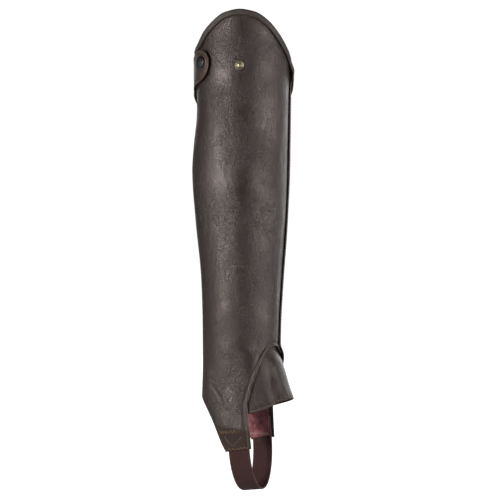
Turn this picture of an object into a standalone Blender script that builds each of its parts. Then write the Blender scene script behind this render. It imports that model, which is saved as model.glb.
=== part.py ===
"""A leather half chap: the close gaiter that a rider wears from the knee to the boot.

It stands as it is worn, filled out and hollow. +Z is up, +X is the toe and -Y is the
wearer's outer side. The origin is on the leg's axis, level with the widest part of the
calf. Sizes below are in millimetres and angles in degrees. An angle runs round the leg
from the shin (0) by the outer side (90) to the back (180); the inner side is at -90.
"""

import math

import bmesh
import bpy
import numpy as np
from mathutils import Matrix, Vector
from mathutils.geometry import delaunay_2d_cdt

MM = 0.001

# Leather, cloth and the gap between pieces
LEATHER = 1.6
TAPE = 1.0
ELASTIC = 1.8
SUEDE = 1.0
GAP = 0.3
LAP = 8.0
# Outer face of a piece that lies under another
UNDER = -(LEATHER + GAP)
# Outer face of a panel that lies over another, clear of its facets
OVER = LEATHER + 2.2 * GAP

# Leg form: height, front reach, back reach, half width
LEG_SECTIONS = (
    (185, 51.6, 48.0, 51.5),
    (110, 51.8, 48.4, 51.5),
    (65, 51.4, 48.0, 50.8),
    (25, 50.6, 52.8, 51.5),
    (0, 50.0, 54.8, 52.2),
    (-50, 48.3, 50.8, 49.0),
    (-120, 43.4, 43.6, 44.2),
    (-165, 40.8, 42.4, 41.8),
    (-188, 40.4, 42.4, 40.8),
    (-207, 48.2, 42.6, 39.5),
    (-233, 57.4, 43.8, 37.5),
    (-250, 63.4, 44.5, 36.2),
    (-280, 65.0, 43.0, 34.4),
    (-312, 65.5, 41.0, 33.2),
)

# Rim of the finished top edge: angle, height
RIM = (
    (-180, 122),
    (-150, 119),
    (-115, 102),
    (-85, 92),
    (-45, 87),
    (-30, 91),
    (-20, 105),
    (-9, 121.5),
    (5, 135),
    (18, 147),
    (34, 159.5),
    (50, 167.5),
    (67, 170),
    (84, 167),
    (100, 158.5),
    (115, 148.5),
    (130, 136.5),
    (150, 128),
)
# Outward curl of the rim at the shin: how far, its middle, its spread and where it starts
RIM_FLARE = 1.7
RIM_FLARE_ANGLE = -14.0
RIM_FLARE_SPREAD = 36.0
RIM_FLARE_START = 78.0
RIM_FLARE_RISE = 36.0

# Arch over the instep: angle from its middle, height
ARCH = (
    (0, -190),
    (14, -191.5),
    (26, -196.5),
    (38, -205),
    (50, -219),
    (58, -233),
    (66, -250),
)
ARCH_MIDDLE = 3.0

# Front edge of the tongue below the arch: height, distance ahead of the leg's axis
TONGUE_FRONT = ((-250, 22.5), (-268, 23.5), (-304, 26.5))
TONGUE_BACK_X = -3.5
OUTER_TONGUE_END = -303.8
INNER_TONGUE_END = -297.4
TONGUE_END_RISE = 4.6

# Hem from the back of the tongue to the back of the leg: angle, height
BACK_HEM = (
    (94, -305),
    (101, -297),
    (109, -285),
    (118, -272),
    (131, -259),
    (144, -251),
    (157, -247),
    (171, -245),
)
# Angle over which the hem takes up the height of its own tongue
HEM_FADE = 60.0

# Hem of the gusset: angle, height
GUSSET_HEM = (
    (-80, -262),
    (-53, -254.6),
    (-39, -251.4),
    (-20, -247.6),
    (0, -245.3),
    (22, -247.2),
    (40, -252.8),
    (67, -261.2),
    (80, -263.4),
)
# How far the gusset runs on beside the arch, and how it sinks under the top of the arch
GUSSET_TUCK = 10.0
GUSSET_EDGE_ANGLE = 78.0
GUSSET_SINK = 0.7
GUSSET_SINK_START = -216.0
GUSSET_SINK_RISE = 20.0
# Soft fold of the gusset beside its ridge, growing from the arch down to the hem
GUSSET_FOLD_TOP = -196.0
GUSSET_FOLD_LENGTH = 50.0
GUSSET_FOLD_ANGLE = 34.0
GUSSET_FOLD_SPREAD = 11.0
GUSSET_FOLD_DEPTH = 2.6
GUSSET_RIDGE_ANGLE = 15.0
GUSSET_RIDGE_HEIGHT = 1.2

# Front seam, where the inner panel laps over the outer one
FRONT_SEAM_ANGLE = -19.0
FRONT_SEAM_EASE = 26.0

# Where the inner panel sinks towards the zip
ZIP_SIDE_START = -125.0
ZIP_SIDE_EASE = 25.0

# Back edge of the outer panel: height, angle
BACK_EDGE = ((125, 150), (60, 146), (0, 145), (-60, 152), (-120, 156), (-250, 157))

# Zip down the back
ZIP_ANGLE = 180.0
ZIP_TOP = 60.0
ZIP_BOTTOM = -243.0
ZIP_OPENING = 16.0
TAPE_TOP = 108.0
# How far the tapes lie from the teeth and under the leather, and where the strip ends
TAPE_FROM_TEETH = 0.9
TAPE_TUCK = 5.0
TAPE_DEPTH = 4.05
STRIP_TOP = 114.0
STRIP_BOTTOM = -246.5
# Where the strip sinks to pass under the outer panel: its angle, and over how many degrees
STRIP_SINK_ANGLE = 166.0
STRIP_SINK_EASE = 8.0
CHAIN_WIDTH = 5.0
CHAIN_THICKNESS = 2.2
CHAIN_DEPTH = 4.3
CHAIN_CORNER = 0.5
SLIDER_LENGTH = 11.0
SLIDER_WIDTH = 8.6
SLIDER_PLATE = 1.3
SLIDER_HEIGHT = 58.0
PULL_WIDTH = 6.4
PULL_THICKNESS = 1.2
PULL_LENGTH = 25.0
PULL_AXIS_OUT = -0.3
PULL_TILT = 6.0
PULL_BAR = 0.65
PULL_WINDOW = (3.6, 5.6)
PULL_HOLE = (2.6, 1.6, 5.0)
BRIDGE_WIDTH = 2.4
BRIDGE_LENGTH = 6.8
BRIDGE_WALL = 0.9
BRIDGE_SPAN = 4.4
BRIDGE_ROOM = 1.1
PLATE_SEAT = 0.2

# Suede inside the inner tongue: its top, its margin, and its back edge as height, ahead
LINING_TOP = -243.0
LINING_MARGIN = 3.5
LINING_BACK = ((-297.4, -1.5), (-285, -8), (-265, -20), (-243, -27))

# Snap tab over the top of the zip: angle, height
TAB_OUTLINE = (
    (205, 107),
    (192, 112),
    (178, 115),
    (150, 120),
    (132, 125.5),
    (121, 127.5),
    (112, 125.5),
    (107, 121),
    (105, 115),
    (106, 108),
    (110, 101),
    (117, 96),
    (126, 93),
    (138, 91),
    (152, 87),
    (166, 80),
    (180, 71),
    (194, 65),
    (205, 62),
)
TAB_THICKNESS = 1.8
# Distance of the tab from the leather below it: angle, distance
TAB_STAND_OFF = (
    (104, 2.8),
    (120, 2.3),
    (145, 1.1),
    (156, 1.0),
    (168, 2.8),
    (180, 3.4),
    (190, 0.8),
    (197, UNDER + 2 * GAP),
    (205, UNDER + GAP),
)

SNAP_ANGLE = 117.5
SNAP_HEIGHT = 114.5
SNAP_DIAMETER = 13.0
STUD_ANGLE = 67.2
STUD_HEIGHT = 110.2
STUD_DIAMETER = 10.0

# Elastic strap under the boot
STRAP_WIDTH = 24.0
STRAP_SEWN = 24.0
STRAP_DROP = 45.8
STRAP_MIDDLE_X = 11.3
STRAP_FORWARD = 3.6
STRAP_TILT = 7.0
# Share of each half of the strap that hangs free below the tongue
STRAP_FREE = 0.62
STRAP_COLUMNS = 5
STRAP_ROWS = 44

# Binding round the top: its thickness, skirt and crown, and its play on the leather
BINDING_SKIN = 1.0
BINDING_GAP = 0.65
BINDING_START = 149.0
BINDING_STOP = -171.0
BINDING_STATIONS = 96
# Angles over which the binding widens to take both panels at the front seam
BINDING_LAP = 8.0
BINDING_EASE = 6.0
BINDING_SKIRT = 5.0
BINDING_CROWN = 1.7
BINDING_SHOULDER = 0.72
BINDING_EDGE = 0.3
BINDING_BEND = 0.8

# Spacing of the mesh along the leg, round it and along the edges
MESH_HEIGHT = 11.0
MESH_GIRTH = 7.0
MESH_EDGE = 6.0
MESH_EDGE_CLEAR = 4.2
MESH_RIM = 4.0
RIM_LOWEST = 80.0
FLAT_RADIUS = 46.0
# Points along a drawn edge before it is spaced out
EDGE_POINTS = 40
SMOOTH_WITHIN = math.radians(35)
TURNED_STEPS = 28

# Materials: name, colour, roughness, metallic
MATERIALS = {
    "brown_leather": ((0.060, 0.048, 0.043), 0.42, 0.0),
    "edge_leather": ((0.072, 0.058, 0.047), 0.40, 0.0),
    "burgundy_suede": ((0.092, 0.032, 0.034), 0.90, 0.0),
    "brown_elastic": ((0.045, 0.024, 0.023), 0.85, 0.0),
    "zip_cloth": ((0.022, 0.018, 0.017), 0.85, 0.0),
    "dark_metal": ((0.100, 0.095, 0.088), 0.35, 1.0),
    "old_brass": ((0.300, 0.250, 0.160), 0.38, 1.0),
}


class Curve:
    """A smooth curve through a table's rows that never overshoots them."""

    def __init__(self, rows, column=1):
        table = np.array(sorted(rows), dtype=float)
        self.at = table[:, 0]
        self.value = table[:, column]
        slope = np.diff(self.value) / np.diff(self.at)
        self.slope = np.empty_like(self.value)
        self.slope[0] = slope[0]
        self.slope[-1] = slope[-1]
        for i in range(1, len(slope)):
            before, after = slope[i - 1], slope[i]
            turns = before * after <= 0
            self.slope[i] = 0 if turns else 2 * before * after / (before + after)

    def __call__(self, at):
        at = min(max(at, self.at[0]), self.at[-1])
        i = int(np.searchsorted(self.at, at, side="right")) - 1
        i = min(max(i, 0), len(self.at) - 2)
        step = self.at[i + 1] - self.at[i]
        t = (at - self.at[i]) / step
        share = ease(t)
        level = self.value[i] * (1 - share) + self.value[i + 1] * share
        bend = self.slope[i] * (t ** 3 - 2 * t ** 2 + t) + self.slope[i + 1] * (t ** 3 - t ** 2)
        return float(level + bend * step)


leg_front = Curve(LEG_SECTIONS, 1)
leg_back = Curve(LEG_SECTIONS, 2)
leg_side = Curve(LEG_SECTIONS, 3)
rim_height = Curve(RIM)
arch_height = Curve(ARCH)
tongue_front = Curve(TONGUE_FRONT)
back_hem = Curve(BACK_HEM)
gusset_hem = Curve(GUSSET_HEM)
back_edge = Curve(BACK_EDGE)
tab_stand_off = Curve(TAB_STAND_OFF)
lining_back = Curve(LINING_BACK)


def ease(t):
    """0 to 1 as t goes from 0 to 1, level at both ends."""
    t = min(max(t, 0.0), 1.0)
    return t * t * (3 - 2 * t)


def hump(distance, spread):
    """1 in the middle, falling smoothly to 0 at the spread."""
    return 1 - ease(abs(distance) / spread)


def rim_flare(angle, height):
    """How far the rim curls out at the shin, where it dips to the inner side."""
    around = hump(angle - RIM_FLARE_ANGLE, RIM_FLARE_SPREAD)
    return RIM_FLARE * around * ease((height - RIM_FLARE_START) / RIM_FLARE_RISE)


def leg_surface(angle, height):
    """The point of the leg form at an angle and a height."""
    turn = math.radians(angle)
    reach = leg_front(height) if math.cos(turn) > 0 else leg_back(height)
    flare = rim_flare((angle + 180) % 360 - 180, height)
    across = (leg_side(height) + flare) * math.sin(turn)
    return Vector(((reach + flare) * math.cos(turn), -across, height))


def leg_normal(angle, height):
    """The outward direction of the leg form at an angle and a height."""
    round_leg = leg_surface(angle + 1, height) - leg_surface(angle - 1, height)
    up_leg = leg_surface(angle, height + 2) - leg_surface(angle, height - 2)
    return up_leg.cross(round_leg).normalized()


def on_leg(angle, height, out=0.0):
    """A point at a distance outside the leg form."""
    return leg_surface(angle, height) + leg_normal(angle, height) * out


def degrees_for(width, angle, height):
    """The angle that a width covers round the leg at a place."""
    step = leg_surface(angle + 1, height) - leg_surface(angle, height)
    return width / step.length


def side_angle(ahead, height):
    """The angle on the outer side of a point so far ahead of the axis."""
    reach = leg_front(height) if ahead > 0 else leg_back(height)
    return math.degrees(math.acos(ahead / reach))


def inner_out(angle):
    """How far out the inner panel lies: over the outer panel in front, sunk beside the zip."""
    past_seam = ease((FRONT_SEAM_ANGLE - angle - 10) / FRONT_SEAM_EASE)
    near_zip = ease((ZIP_SIDE_START - angle) / ZIP_SIDE_EASE)
    return OVER * (1 - past_seam) + UNDER * near_zip


def gusset_out(angle, height):
    """The gusset lies under the panels and folds softly towards its hem."""
    down = ease((GUSSET_FOLD_TOP - height) / GUSSET_FOLD_LENGTH)
    fold = GUSSET_FOLD_DEPTH * hump(angle - GUSSET_FOLD_ANGLE, GUSSET_FOLD_SPREAD)
    ridge = GUSSET_RIDGE_HEIGHT * hump(angle - GUSSET_RIDGE_ANGLE, GUSSET_FOLD_SPREAD)
    sunk = GUSSET_SINK * ease((height - GUSSET_SINK_START) / GUSSET_SINK_RISE)
    return UNDER - GAP - sunk + down * (ridge - fold)


def material(name):
    """The named material, made once."""
    found = bpy.data.materials.get(name)
    if found:
        return found
    colour, roughness, metallic = MATERIALS[name]
    made = bpy.data.materials.new(name)
    made.use_nodes = True
    shader = made.node_tree.nodes["Principled BSDF"]
    shader.inputs["Base Color"].default_value = (*colour, 1.0)
    shader.inputs["Roughness"].default_value = roughness
    shader.inputs["Metallic"].default_value = metallic
    made.diffuse_color = (*colour, 1.0)
    return made


def add_object(name, mesh, slot, collection):
    """Link a mesh as a smooth-shaded object with its material."""
    mesh.materials.append(material(slot))
    mesh.shade_smooth()
    mesh.set_sharp_from_angle(angle=SMOOTH_WITHIN)
    made = bpy.data.objects.new(name, mesh)
    collection.objects.link(made)
    return made


def add_wall(name, points, faces, thickness, slot, collection):
    """A shell: an open surface of points in millimetres, thickened inwards."""
    mesh = bpy.data.meshes.new(name)
    mesh.from_pydata([point * MM for point in points], [], faces)
    made = add_object(name, mesh, slot, collection)
    wall = made.modifiers.new("wall", "SOLIDIFY")
    wall.thickness = thickness * MM
    wall.offset = -1
    wall.use_quality_normals = True
    return made


def spaced(edge, step):
    """Points evenly spaced along an edge of the flat pattern, with both its ends."""
    flat = np.array([(math.radians(angle) * FLAT_RADIUS, height) for angle, height in edge])
    along = np.concatenate(([0.0], np.cumsum(np.linalg.norm(np.diff(flat, axis=0), axis=1))))
    count = max(1, round(along[-1] / step))
    stops = np.linspace(0, along[-1], count + 1)
    return np.column_stack([np.interp(stops, along, flat[:, i]) for i in (0, 1)])


def inside(point, outline):
    """Whether a flat point lies inside a closed outline."""
    x, y = point
    crossed = False
    for (x0, y0), (x1, y1) in zip(outline, np.roll(outline, -1, axis=0)):
        if (y0 > y) != (y1 > y) and x < x0 + (y - y0) * (x1 - x0) / (y1 - y0):
            crossed = not crossed
    return crossed


def cut_pattern(edges):
    """Triangles of a flat pattern whose outline is a ring of edges."""
    rings = []
    for edge in edges:
        step = MESH_EDGE if edge[0][1] < RIM_LOWEST else MESH_RIM
        rings.append(spaced(edge, step)[:-1])
    outline = np.concatenate(rings)
    low, high = outline.min(axis=0), outline.max(axis=0)
    columns = max(1, round((high[0] - low[0]) / MESH_GIRTH))
    rows = max(1, round((high[1] - low[1]) / MESH_HEIGHT))
    filling = []
    for height in np.linspace(low[1], high[1], rows + 1)[1:-1]:
        for girth in np.linspace(low[0], high[0], columns + 1)[1:-1]:
            nearest = np.linalg.norm(outline - (girth, height), axis=1).min()
            if nearest > MESH_EDGE_CLEAR and inside((girth, height), outline):
                filling.append((girth, height))
    points = [Vector(point) for point in [*outline, *filling]]
    ring = list(range(len(outline)))
    triangles_inside = 1
    cut = delaunay_2d_cdt(points, [], [ring], triangles_inside, 1e-4)
    pattern = [(math.degrees(point[0] / FLAT_RADIUS), point[1]) for point in cut[0]]
    return pattern, [tuple(reversed(face)) for face in cut[2]]


def leg_piece(name, edges, out, thickness, slot, collection):
    """A piece cut to a flat outline and wrapped round the leg form."""
    pattern, faces = cut_pattern(edges)
    points = [on_leg(angle, height, out(angle, height)) for angle, height in pattern]
    return add_wall(name, points, faces, thickness, slot, collection)


def sweep(name, rings, slot, collection):
    """A closed body through rings of points in millimetres, all of one size."""
    points = [point for ring in rings for point in ring]
    size = len(rings[0])
    faces = []
    for row in range(len(rings) - 1):
        for i in range(size):
            j = (i + 1) % size
            faces.append((row * size + i, row * size + j, (row + 1) * size + j, (row + 1) * size + i))
    faces.append(tuple(reversed(range(size))))
    faces.append(tuple(range(len(points) - size, len(points))))
    mesh = bpy.data.meshes.new(name)
    mesh.from_pydata([point * MM for point in points], [], faces)
    shape = bmesh.new()
    shape.from_mesh(mesh)
    bmesh.ops.recalc_face_normals(shape, faces=shape.faces)
    shape.to_mesh(mesh)
    shape.free()
    return add_object(name, mesh, slot, collection)


def leather_top(angle):
    """The leather's top edge, under the crown of the binding."""
    return rim_height(angle) - BINDING_CROWN - GAP


def rim_edge(start, stop):
    """The leather's top edge between two angles, a degree at a time."""
    count = round(abs(stop - start))
    return [(angle, leather_top(angle)) for angle in np.linspace(start, stop, count + 1)]


def arch_edge(start, stop):
    """The arch over the instep between two angles."""
    angles = np.linspace(start, stop, EDGE_POINTS)
    return [(angle, arch_height(abs(angle - ARCH_MIDDLE))) for angle in angles]


def tongue_edges(end_height, side):
    """The tongue's front edge going down, its end, and the hem going back and up."""
    heights = np.linspace(ARCH[-1][1], end_height + TONGUE_END_RISE, EDGE_POINTS)
    front = [(side * side_angle(tongue_front(height), height), height) for height in heights]
    back_angle = side_angle(TONGUE_BACK_X, end_height)
    end = [front[-1], (side * back_angle, end_height)]
    drop = end_height - BACK_HEM[0][1]
    hem = []
    for angle in np.linspace(back_angle, BACK_HEM[-1][0], EDGE_POINTS):
        fade = 1 - ease((angle - back_angle) / HEM_FADE)
        hem.append((side * angle, back_hem(angle) + drop * fade))
    hem[0] = end[-1]
    return front, end, hem


def cut_hem(hem, last_angle):
    """The part of a hem that ends at an angle, with its end on that angle."""
    kept = [point for point in hem if abs(point[0]) < abs(last_angle)]
    return kept + [(last_angle, back_hem(abs(last_angle)))]


def outer_panel(collection):
    """The outer side: from under the front seam, round the outer side, to the back edge."""
    seam = FRONT_SEAM_ANGLE - LAP
    front, end, hem = tongue_edges(OUTER_TONGUE_END, 1)
    arch = arch_edge(seam, front[0][0])
    arch[-1] = front[0]
    hem = cut_hem(hem, back_edge(BACK_EDGE[-1][0]))
    heights = np.linspace(hem[-1][1], BACK_EDGE[0][0], EDGE_POINTS)
    back = [(back_edge(height), height) for height in heights]
    top = rim_edge(back[-1][0], seam)
    back[-1] = top[0]
    back[0] = hem[-1]
    edges = [arch, front, end, hem, back, top, [top[-1], arch[0]]]
    return leg_piece("outer_panel", edges, lambda a, h: 0.0, LEATHER, "brown_leather", collection)


def inner_panel(collection):
    """The inner side: from over the front seam, round the inner side, to the zip."""
    last = zip_edge(ZIP_BOTTOM) - 360
    front, end, hem = tongue_edges(INNER_TONGUE_END, -1)
    arch = arch_edge(FRONT_SEAM_ANGLE, front[0][0])
    arch[-1] = front[0]
    hem = cut_hem(hem, last)
    heights = np.linspace(hem[-1][1], leather_top(last), EDGE_POINTS)
    back = [(zip_edge(height) - 360, height) for height in heights]
    top = rim_edge(back[-1][0], FRONT_SEAM_ANGLE)
    hem[-1] = back[0]
    back[-1] = top[0]
    edges = [arch, front, end, hem, back, top, [top[-1], arch[0]]]
    return leg_piece("inner_panel", edges, lambda a, h: inner_out(a), LEATHER, "brown_leather", collection)


def zip_edge(height, width=ZIP_OPENING / 2):
    """The angle of a line on the inner side of the zip, so far from its middle."""
    return ZIP_ANGLE + degrees_for(width, ZIP_ANGLE, height)


def strip_out(angle, height):
    """The strip lies under the outer panel, a little deeper where they overlap."""
    return UNDER - GAP * ease((STRIP_SINK_ANGLE - angle) / STRIP_SINK_EASE)


def back_strip(collection):
    """The strip from under the outer panel's back edge to the zip."""
    heights = np.linspace(STRIP_BOTTOM, STRIP_TOP, EDGE_POINTS)
    zip_side = [(2 * ZIP_ANGLE - zip_edge(height), height) for height in heights]
    panel_side = []
    for height in reversed(heights):
        angle = back_edge(height)
        panel_side.append((angle - degrees_for(LAP, angle, height), height))
    edges = [zip_side, [zip_side[-1], panel_side[0]], panel_side, [panel_side[-1], zip_side[0]]]
    return leg_piece("back_strip", edges, strip_out, LEATHER, "brown_leather", collection)


def instep_gusset(collection):
    """The flared wedge in the arch, tucked under the panels at its sides."""
    angles = np.linspace(-GUSSET_EDGE_ANGLE, GUSSET_EDGE_ANGLE, EDGE_POINTS)
    hem = [(angle, gusset_hem(angle)) for angle in angles]
    arch = []
    for share in np.linspace(-1, 1, EDGE_POINTS):
        turn = share * ARCH[-1][0]
        rise = LAP * math.cos(share * math.radians(GUSSET_EDGE_ANGLE))
        arch.append((ARCH_MIDDLE + turn + share * GUSSET_TUCK, arch_height(abs(turn)) + rise))
    right = [hem[-1], arch[-1]]
    left = [arch[0], hem[0]]
    edges = [hem, right, list(reversed(arch)), left]
    return leg_piece("instep_gusset", edges, gusset_out, LEATHER, "brown_leather", collection)


def zip_tapes(collection):
    """The two cloth tapes of the zip, tucked under the leather at each side."""
    heights = np.linspace(ZIP_BOTTOM, TAPE_TOP, EDGE_POINTS)
    beside_chain = CHAIN_WIDTH / 2 + TAPE_FROM_TEETH
    tucked = ZIP_OPENING / 2 + TAPE_TUCK
    for name, side in (("zip_tape_outer", -1), ("zip_tape_inner", 1)):
        near, far = [], []
        for height in heights:
            near.append((ZIP_ANGLE + side * degrees_for(beside_chain, ZIP_ANGLE, height), height))
            far.append((ZIP_ANGLE + side * degrees_for(tucked, ZIP_ANGLE, height), height))
        ring = [near, [near[-1], far[-1]], list(reversed(far)), [far[0], near[0]]]
        if side > 0:
            ring = [list(reversed(edge)) for edge in reversed(ring)]
        leg_piece(name, ring, lambda a, h: -TAPE_DEPTH, TAPE, "zip_cloth", collection)


def zip_chain(collection):
    """The closed teeth of the zip as one bar."""
    half_width = CHAIN_WIDTH / 2
    out = -CHAIN_DEPTH + CHAIN_THICKNESS / 2
    low = -CHAIN_DEPTH - CHAIN_THICKNESS / 2
    corner = CHAIN_CORNER
    profile = (
        (low, corner - half_width),
        (low + corner, -half_width),
        (out - corner, -half_width),
        (out, corner - half_width),
        (out, half_width - corner),
        (out - corner, half_width),
        (low + corner, half_width),
        (low, half_width - corner),
    )
    rings = []
    for height in np.linspace(ZIP_BOTTOM, ZIP_TOP, EDGE_POINTS):
        ring = []
        for depth, side in profile:
            ring.append(on_leg(ZIP_ANGLE, height, depth) - Vector((0, side, 0)))
        rings.append(ring)
    return sweep("zip_chain", rings, "dark_metal", collection)


def add_box(name, low, high, frame, collection):
    """A metal box between two corners of a local frame."""
    size = Vector(high) - Vector(low)
    middle = (Vector(high) + Vector(low)) / 2
    shape = bmesh.new()
    bmesh.ops.create_cube(shape, size=1.0)
    bmesh.ops.scale(shape, vec=size * MM, verts=shape.verts)
    bmesh.ops.translate(shape, vec=middle * MM, verts=shape.verts)
    shape.transform(frame)
    mesh = bpy.data.meshes.new(name)
    shape.to_mesh(mesh)
    shape.free()
    return add_object(name, mesh, "dark_metal", collection)


def combine(target, tool, operation):
    """Join a piece to another or cut it out, and keep the result in the target."""
    change = target.modifiers.new(operation.lower(), "BOOLEAN")
    change.operation = operation
    change.object = tool
    graph = bpy.context.evaluated_depsgraph_get()
    mesh = bpy.data.meshes.new_from_object(target.evaluated_get(graph))
    target.modifiers.clear()
    target.data = mesh
    bpy.data.objects.remove(tool)


def zip_frame():
    """The slider's frame: local X out of the leg, Y to the outer side and Z up the zip."""
    outward = leg_normal(ZIP_ANGLE, SLIDER_HEIGHT)
    side = Vector((0, -1, 0))
    along = outward.cross(side)
    frame = Matrix((outward, side, along)).transposed().to_4x4()
    frame.translation = leg_surface(ZIP_ANGLE, SLIDER_HEIGHT) * MM
    return frame


def zip_slider(collection, guides):
    """Two plates held together by a post, with a bridge that carries the pull."""
    frame = zip_frame()
    half_length = SLIDER_LENGTH / 2
    half_width = SLIDER_WIDTH / 2
    half_bridge = BRIDGE_WIDTH / 2
    half_chain = CHAIN_THICKNESS / 2 + GAP
    out_low = half_chain - CHAIN_DEPTH
    out_high = out_low + SLIDER_PLATE
    in_high = -half_chain - CHAIN_DEPTH
    in_low = in_high - SLIDER_PLATE
    post = CHAIN_WIDTH / 2 - 2 * GAP
    post_low = ZIP_TOP - SLIDER_HEIGHT + 2 * GAP
    post_high = half_length - PLATE_SEAT
    roof = PULL_AXIS_OUT + BRIDGE_ROOM
    outer_low = (out_low, -half_width, -half_length)
    outer_high = (out_high, half_width, half_length)
    slider = add_box("zip_slider", outer_low, outer_high, frame, collection)
    inner_low = (in_low, -half_width, -half_length)
    inner_high = (in_high, half_width, half_length)
    inner_plate = add_box("inner_plate", inner_low, inner_high, frame, guides)
    combine(slider, inner_plate, "UNION")
    low = (in_low + PLATE_SEAT, -post, post_low)
    high = (out_high - PLATE_SEAT, post, post_high)
    combine(slider, add_box("post", low, high, frame, guides), "UNION")
    low = (out_high - PLATE_SEAT, -half_bridge, -BRIDGE_LENGTH / 2)
    high = (roof + BRIDGE_WALL, half_bridge, BRIDGE_LENGTH / 2)
    combine(slider, add_box("bridge", low, high, frame, guides), "UNION")
    low = (out_high + PLATE_SEAT, -half_width, -BRIDGE_SPAN / 2)
    high = (roof, half_width, BRIDGE_SPAN / 2)
    combine(slider, add_box("bridge_hole", low, high, frame, guides), "DIFFERENCE")
    slider.data.shade_smooth()
    slider.data.set_sharp_from_angle(angle=SMOOTH_WITHIN)


def zip_pull(collection, guides):
    """The flat pull, hung from the slider's bridge by the bar over its window."""
    to_axis = Matrix.Translation((PULL_AXIS_OUT * MM, 0, 0))
    tilt = Matrix.Rotation(math.radians(-PULL_TILT), 4, "Y")
    frame = zip_frame() @ to_axis @ tilt
    half = PULL_THICKNESS / 2
    half_width = PULL_WIDTH / 2
    low = (-half, -half_width, -PULL_LENGTH)
    high = (half, half_width, PULL_BAR)
    pull = add_box("zip_pull", low, high, frame, collection)
    width, depth = PULL_WINDOW
    low = (-PULL_THICKNESS, -width / 2, -depth)
    high = (PULL_THICKNESS, width / 2, -PULL_BAR)
    combine(pull, add_box("pull_window", low, high, frame, guides), "DIFFERENCE")
    width, start, stop = PULL_HOLE
    low = (-PULL_THICKNESS, -width / 2, start - PULL_LENGTH)
    high = (PULL_THICKNESS, width / 2, stop - PULL_LENGTH)
    combine(pull, add_box("pull_hole", low, high, frame, guides), "DIFFERENCE")


def rim_faces(angle):
    """Outer and inner face of the leather that the binding folds over at an angle."""
    over = inner_out(angle)
    past_lap = ease((FRONT_SEAM_ANGLE + BINDING_LAP - angle) / BINDING_EASE)
    outer_face = over * past_lap
    under_lap = ease((FRONT_SEAM_ANGLE - LAP - BINDING_LAP - angle) / BINDING_EASE)
    inner_face = over * under_lap - LEATHER
    return outer_face, inner_face


def top_binding(collection):
    """The strip folded over the top edge, from the outer panel's back edge to the zip."""
    rings = []
    for angle in np.linspace(BINDING_START, BINDING_STOP, BINDING_STATIONS):
        outer_face, inner_face = rim_faces(angle)
        edge = leather_top(angle)
        girth = 1 / degrees_for(1.0, angle, edge)
        uphill = (rim_height(angle + 1) - rim_height(angle - 1)) / 2
        along = Vector((girth, uphill)).normalized()
        ring = []
        for out, up in folded_strip(outer_face + BINDING_GAP, inner_face - BINDING_GAP):
            ring.append(on_leg(angle - along.y * up / girth, edge + along.x * up, out))
        rings.append(ring)
    return sweep("top_binding", rings, "edge_leather", collection)


def folded_strip(outer, inner):
    """The section of a strip folded over an edge, as distance out and height."""
    middle = (outer + inner) / 2
    round_out = outer + BINDING_SKIN
    round_in = inner - BINDING_SKIN
    crown = BINDING_CROWN + GAP
    shoulder = (round_out - middle) * BINDING_SHOULDER
    shoulder_height = crown * (1 - BINDING_SHOULDER ** 2) + BINDING_EDGE
    return (
        (outer, -BINDING_SKIRT),
        (round_out - BINDING_EDGE, -BINDING_SKIRT),
        (round_out, BINDING_SKIN - BINDING_SKIRT),
        (round_out, -BINDING_BEND),
        (middle + shoulder, shoulder_height),
        (middle, crown),
        (middle - shoulder, shoulder_height),
        (round_in, -BINDING_BEND),
        (round_in, BINDING_SKIN - BINDING_SKIRT),
        (round_in + BINDING_EDGE, -BINDING_SKIRT),
        (inner, -BINDING_SKIRT),
        (inner, 2 * GAP),
        (outer, 2 * GAP),
    )


def snap_tab(collection):
    """The teardrop tab, sewn to the inner panel and snapped to the outer one."""
    outline = TAB_OUTLINE[::-1]
    edges = [list(pair) for pair in zip(outline, outline[1:] + outline[:1])]

    def out(angle, height):
        return tab_stand_off(angle) + TAB_THICKNESS

    return leg_piece("snap_tab", edges, out, TAB_THICKNESS, "brown_leather", collection)


def turned(name, profile, angle, height, out, slot, collection):
    """A turned piece whose axis points straight out of the leg."""
    mesh = bpy.data.meshes.new(name)
    points = [(radius * MM, 0, up * MM) for radius, up in profile]
    mesh.from_pydata(points, [(i, i + 1) for i in range(len(points) - 1)], [])
    made = add_object(name, mesh, slot, collection)
    spin = made.modifiers.new("turn", "SCREW")
    spin.axis = "Z"
    spin.angle = math.tau
    spin.steps = TURNED_STEPS
    spin.render_steps = TURNED_STEPS
    spin.use_merge_vertices = True
    spin.merge_threshold = 0.00005
    spin.use_smooth_shade = True
    outward = leg_normal(angle, height)
    made.rotation_euler = outward.to_track_quat("Z", "Y").to_euler()
    made.location = on_leg(angle, height, out) * MM
    return made


def snap(collection):
    """The press fastener: a domed cap on the tab, and its stud under the tab."""
    radius = SNAP_DIAMETER / 2
    stand_off = tab_stand_off(SNAP_ANGLE)
    cap = (
        (0.0, 2.2),
        (radius * 0.55, 2.0),
        (radius * 0.8, 1.6),
        (radius * 0.86, 1.35),
        (radius * 0.93, 1.45),
        (radius, 1.0),
        (radius, 0.4),
        (radius * 0.9, 0.0),
        (0.0, 0.0),
    )
    cap_seat = stand_off + TAB_THICKNESS + GAP
    turned("snap_cap", cap, SNAP_ANGLE, SNAP_HEIGHT, cap_seat, "dark_metal", collection)
    height = stand_off - 3 * GAP
    neck = radius * 0.55
    foot = radius * 0.7
    plate = 0.4
    stud = (
        (0.0, height),
        (neck - plate, height),
        (neck, height - plate),
        (neck, plate),
        (foot, plate),
        (foot, 0.0),
        (0.0, 0.0),
    )
    turned("snap_stud", stud, SNAP_ANGLE, SNAP_HEIGHT, GAP, "dark_metal", collection)


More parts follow.
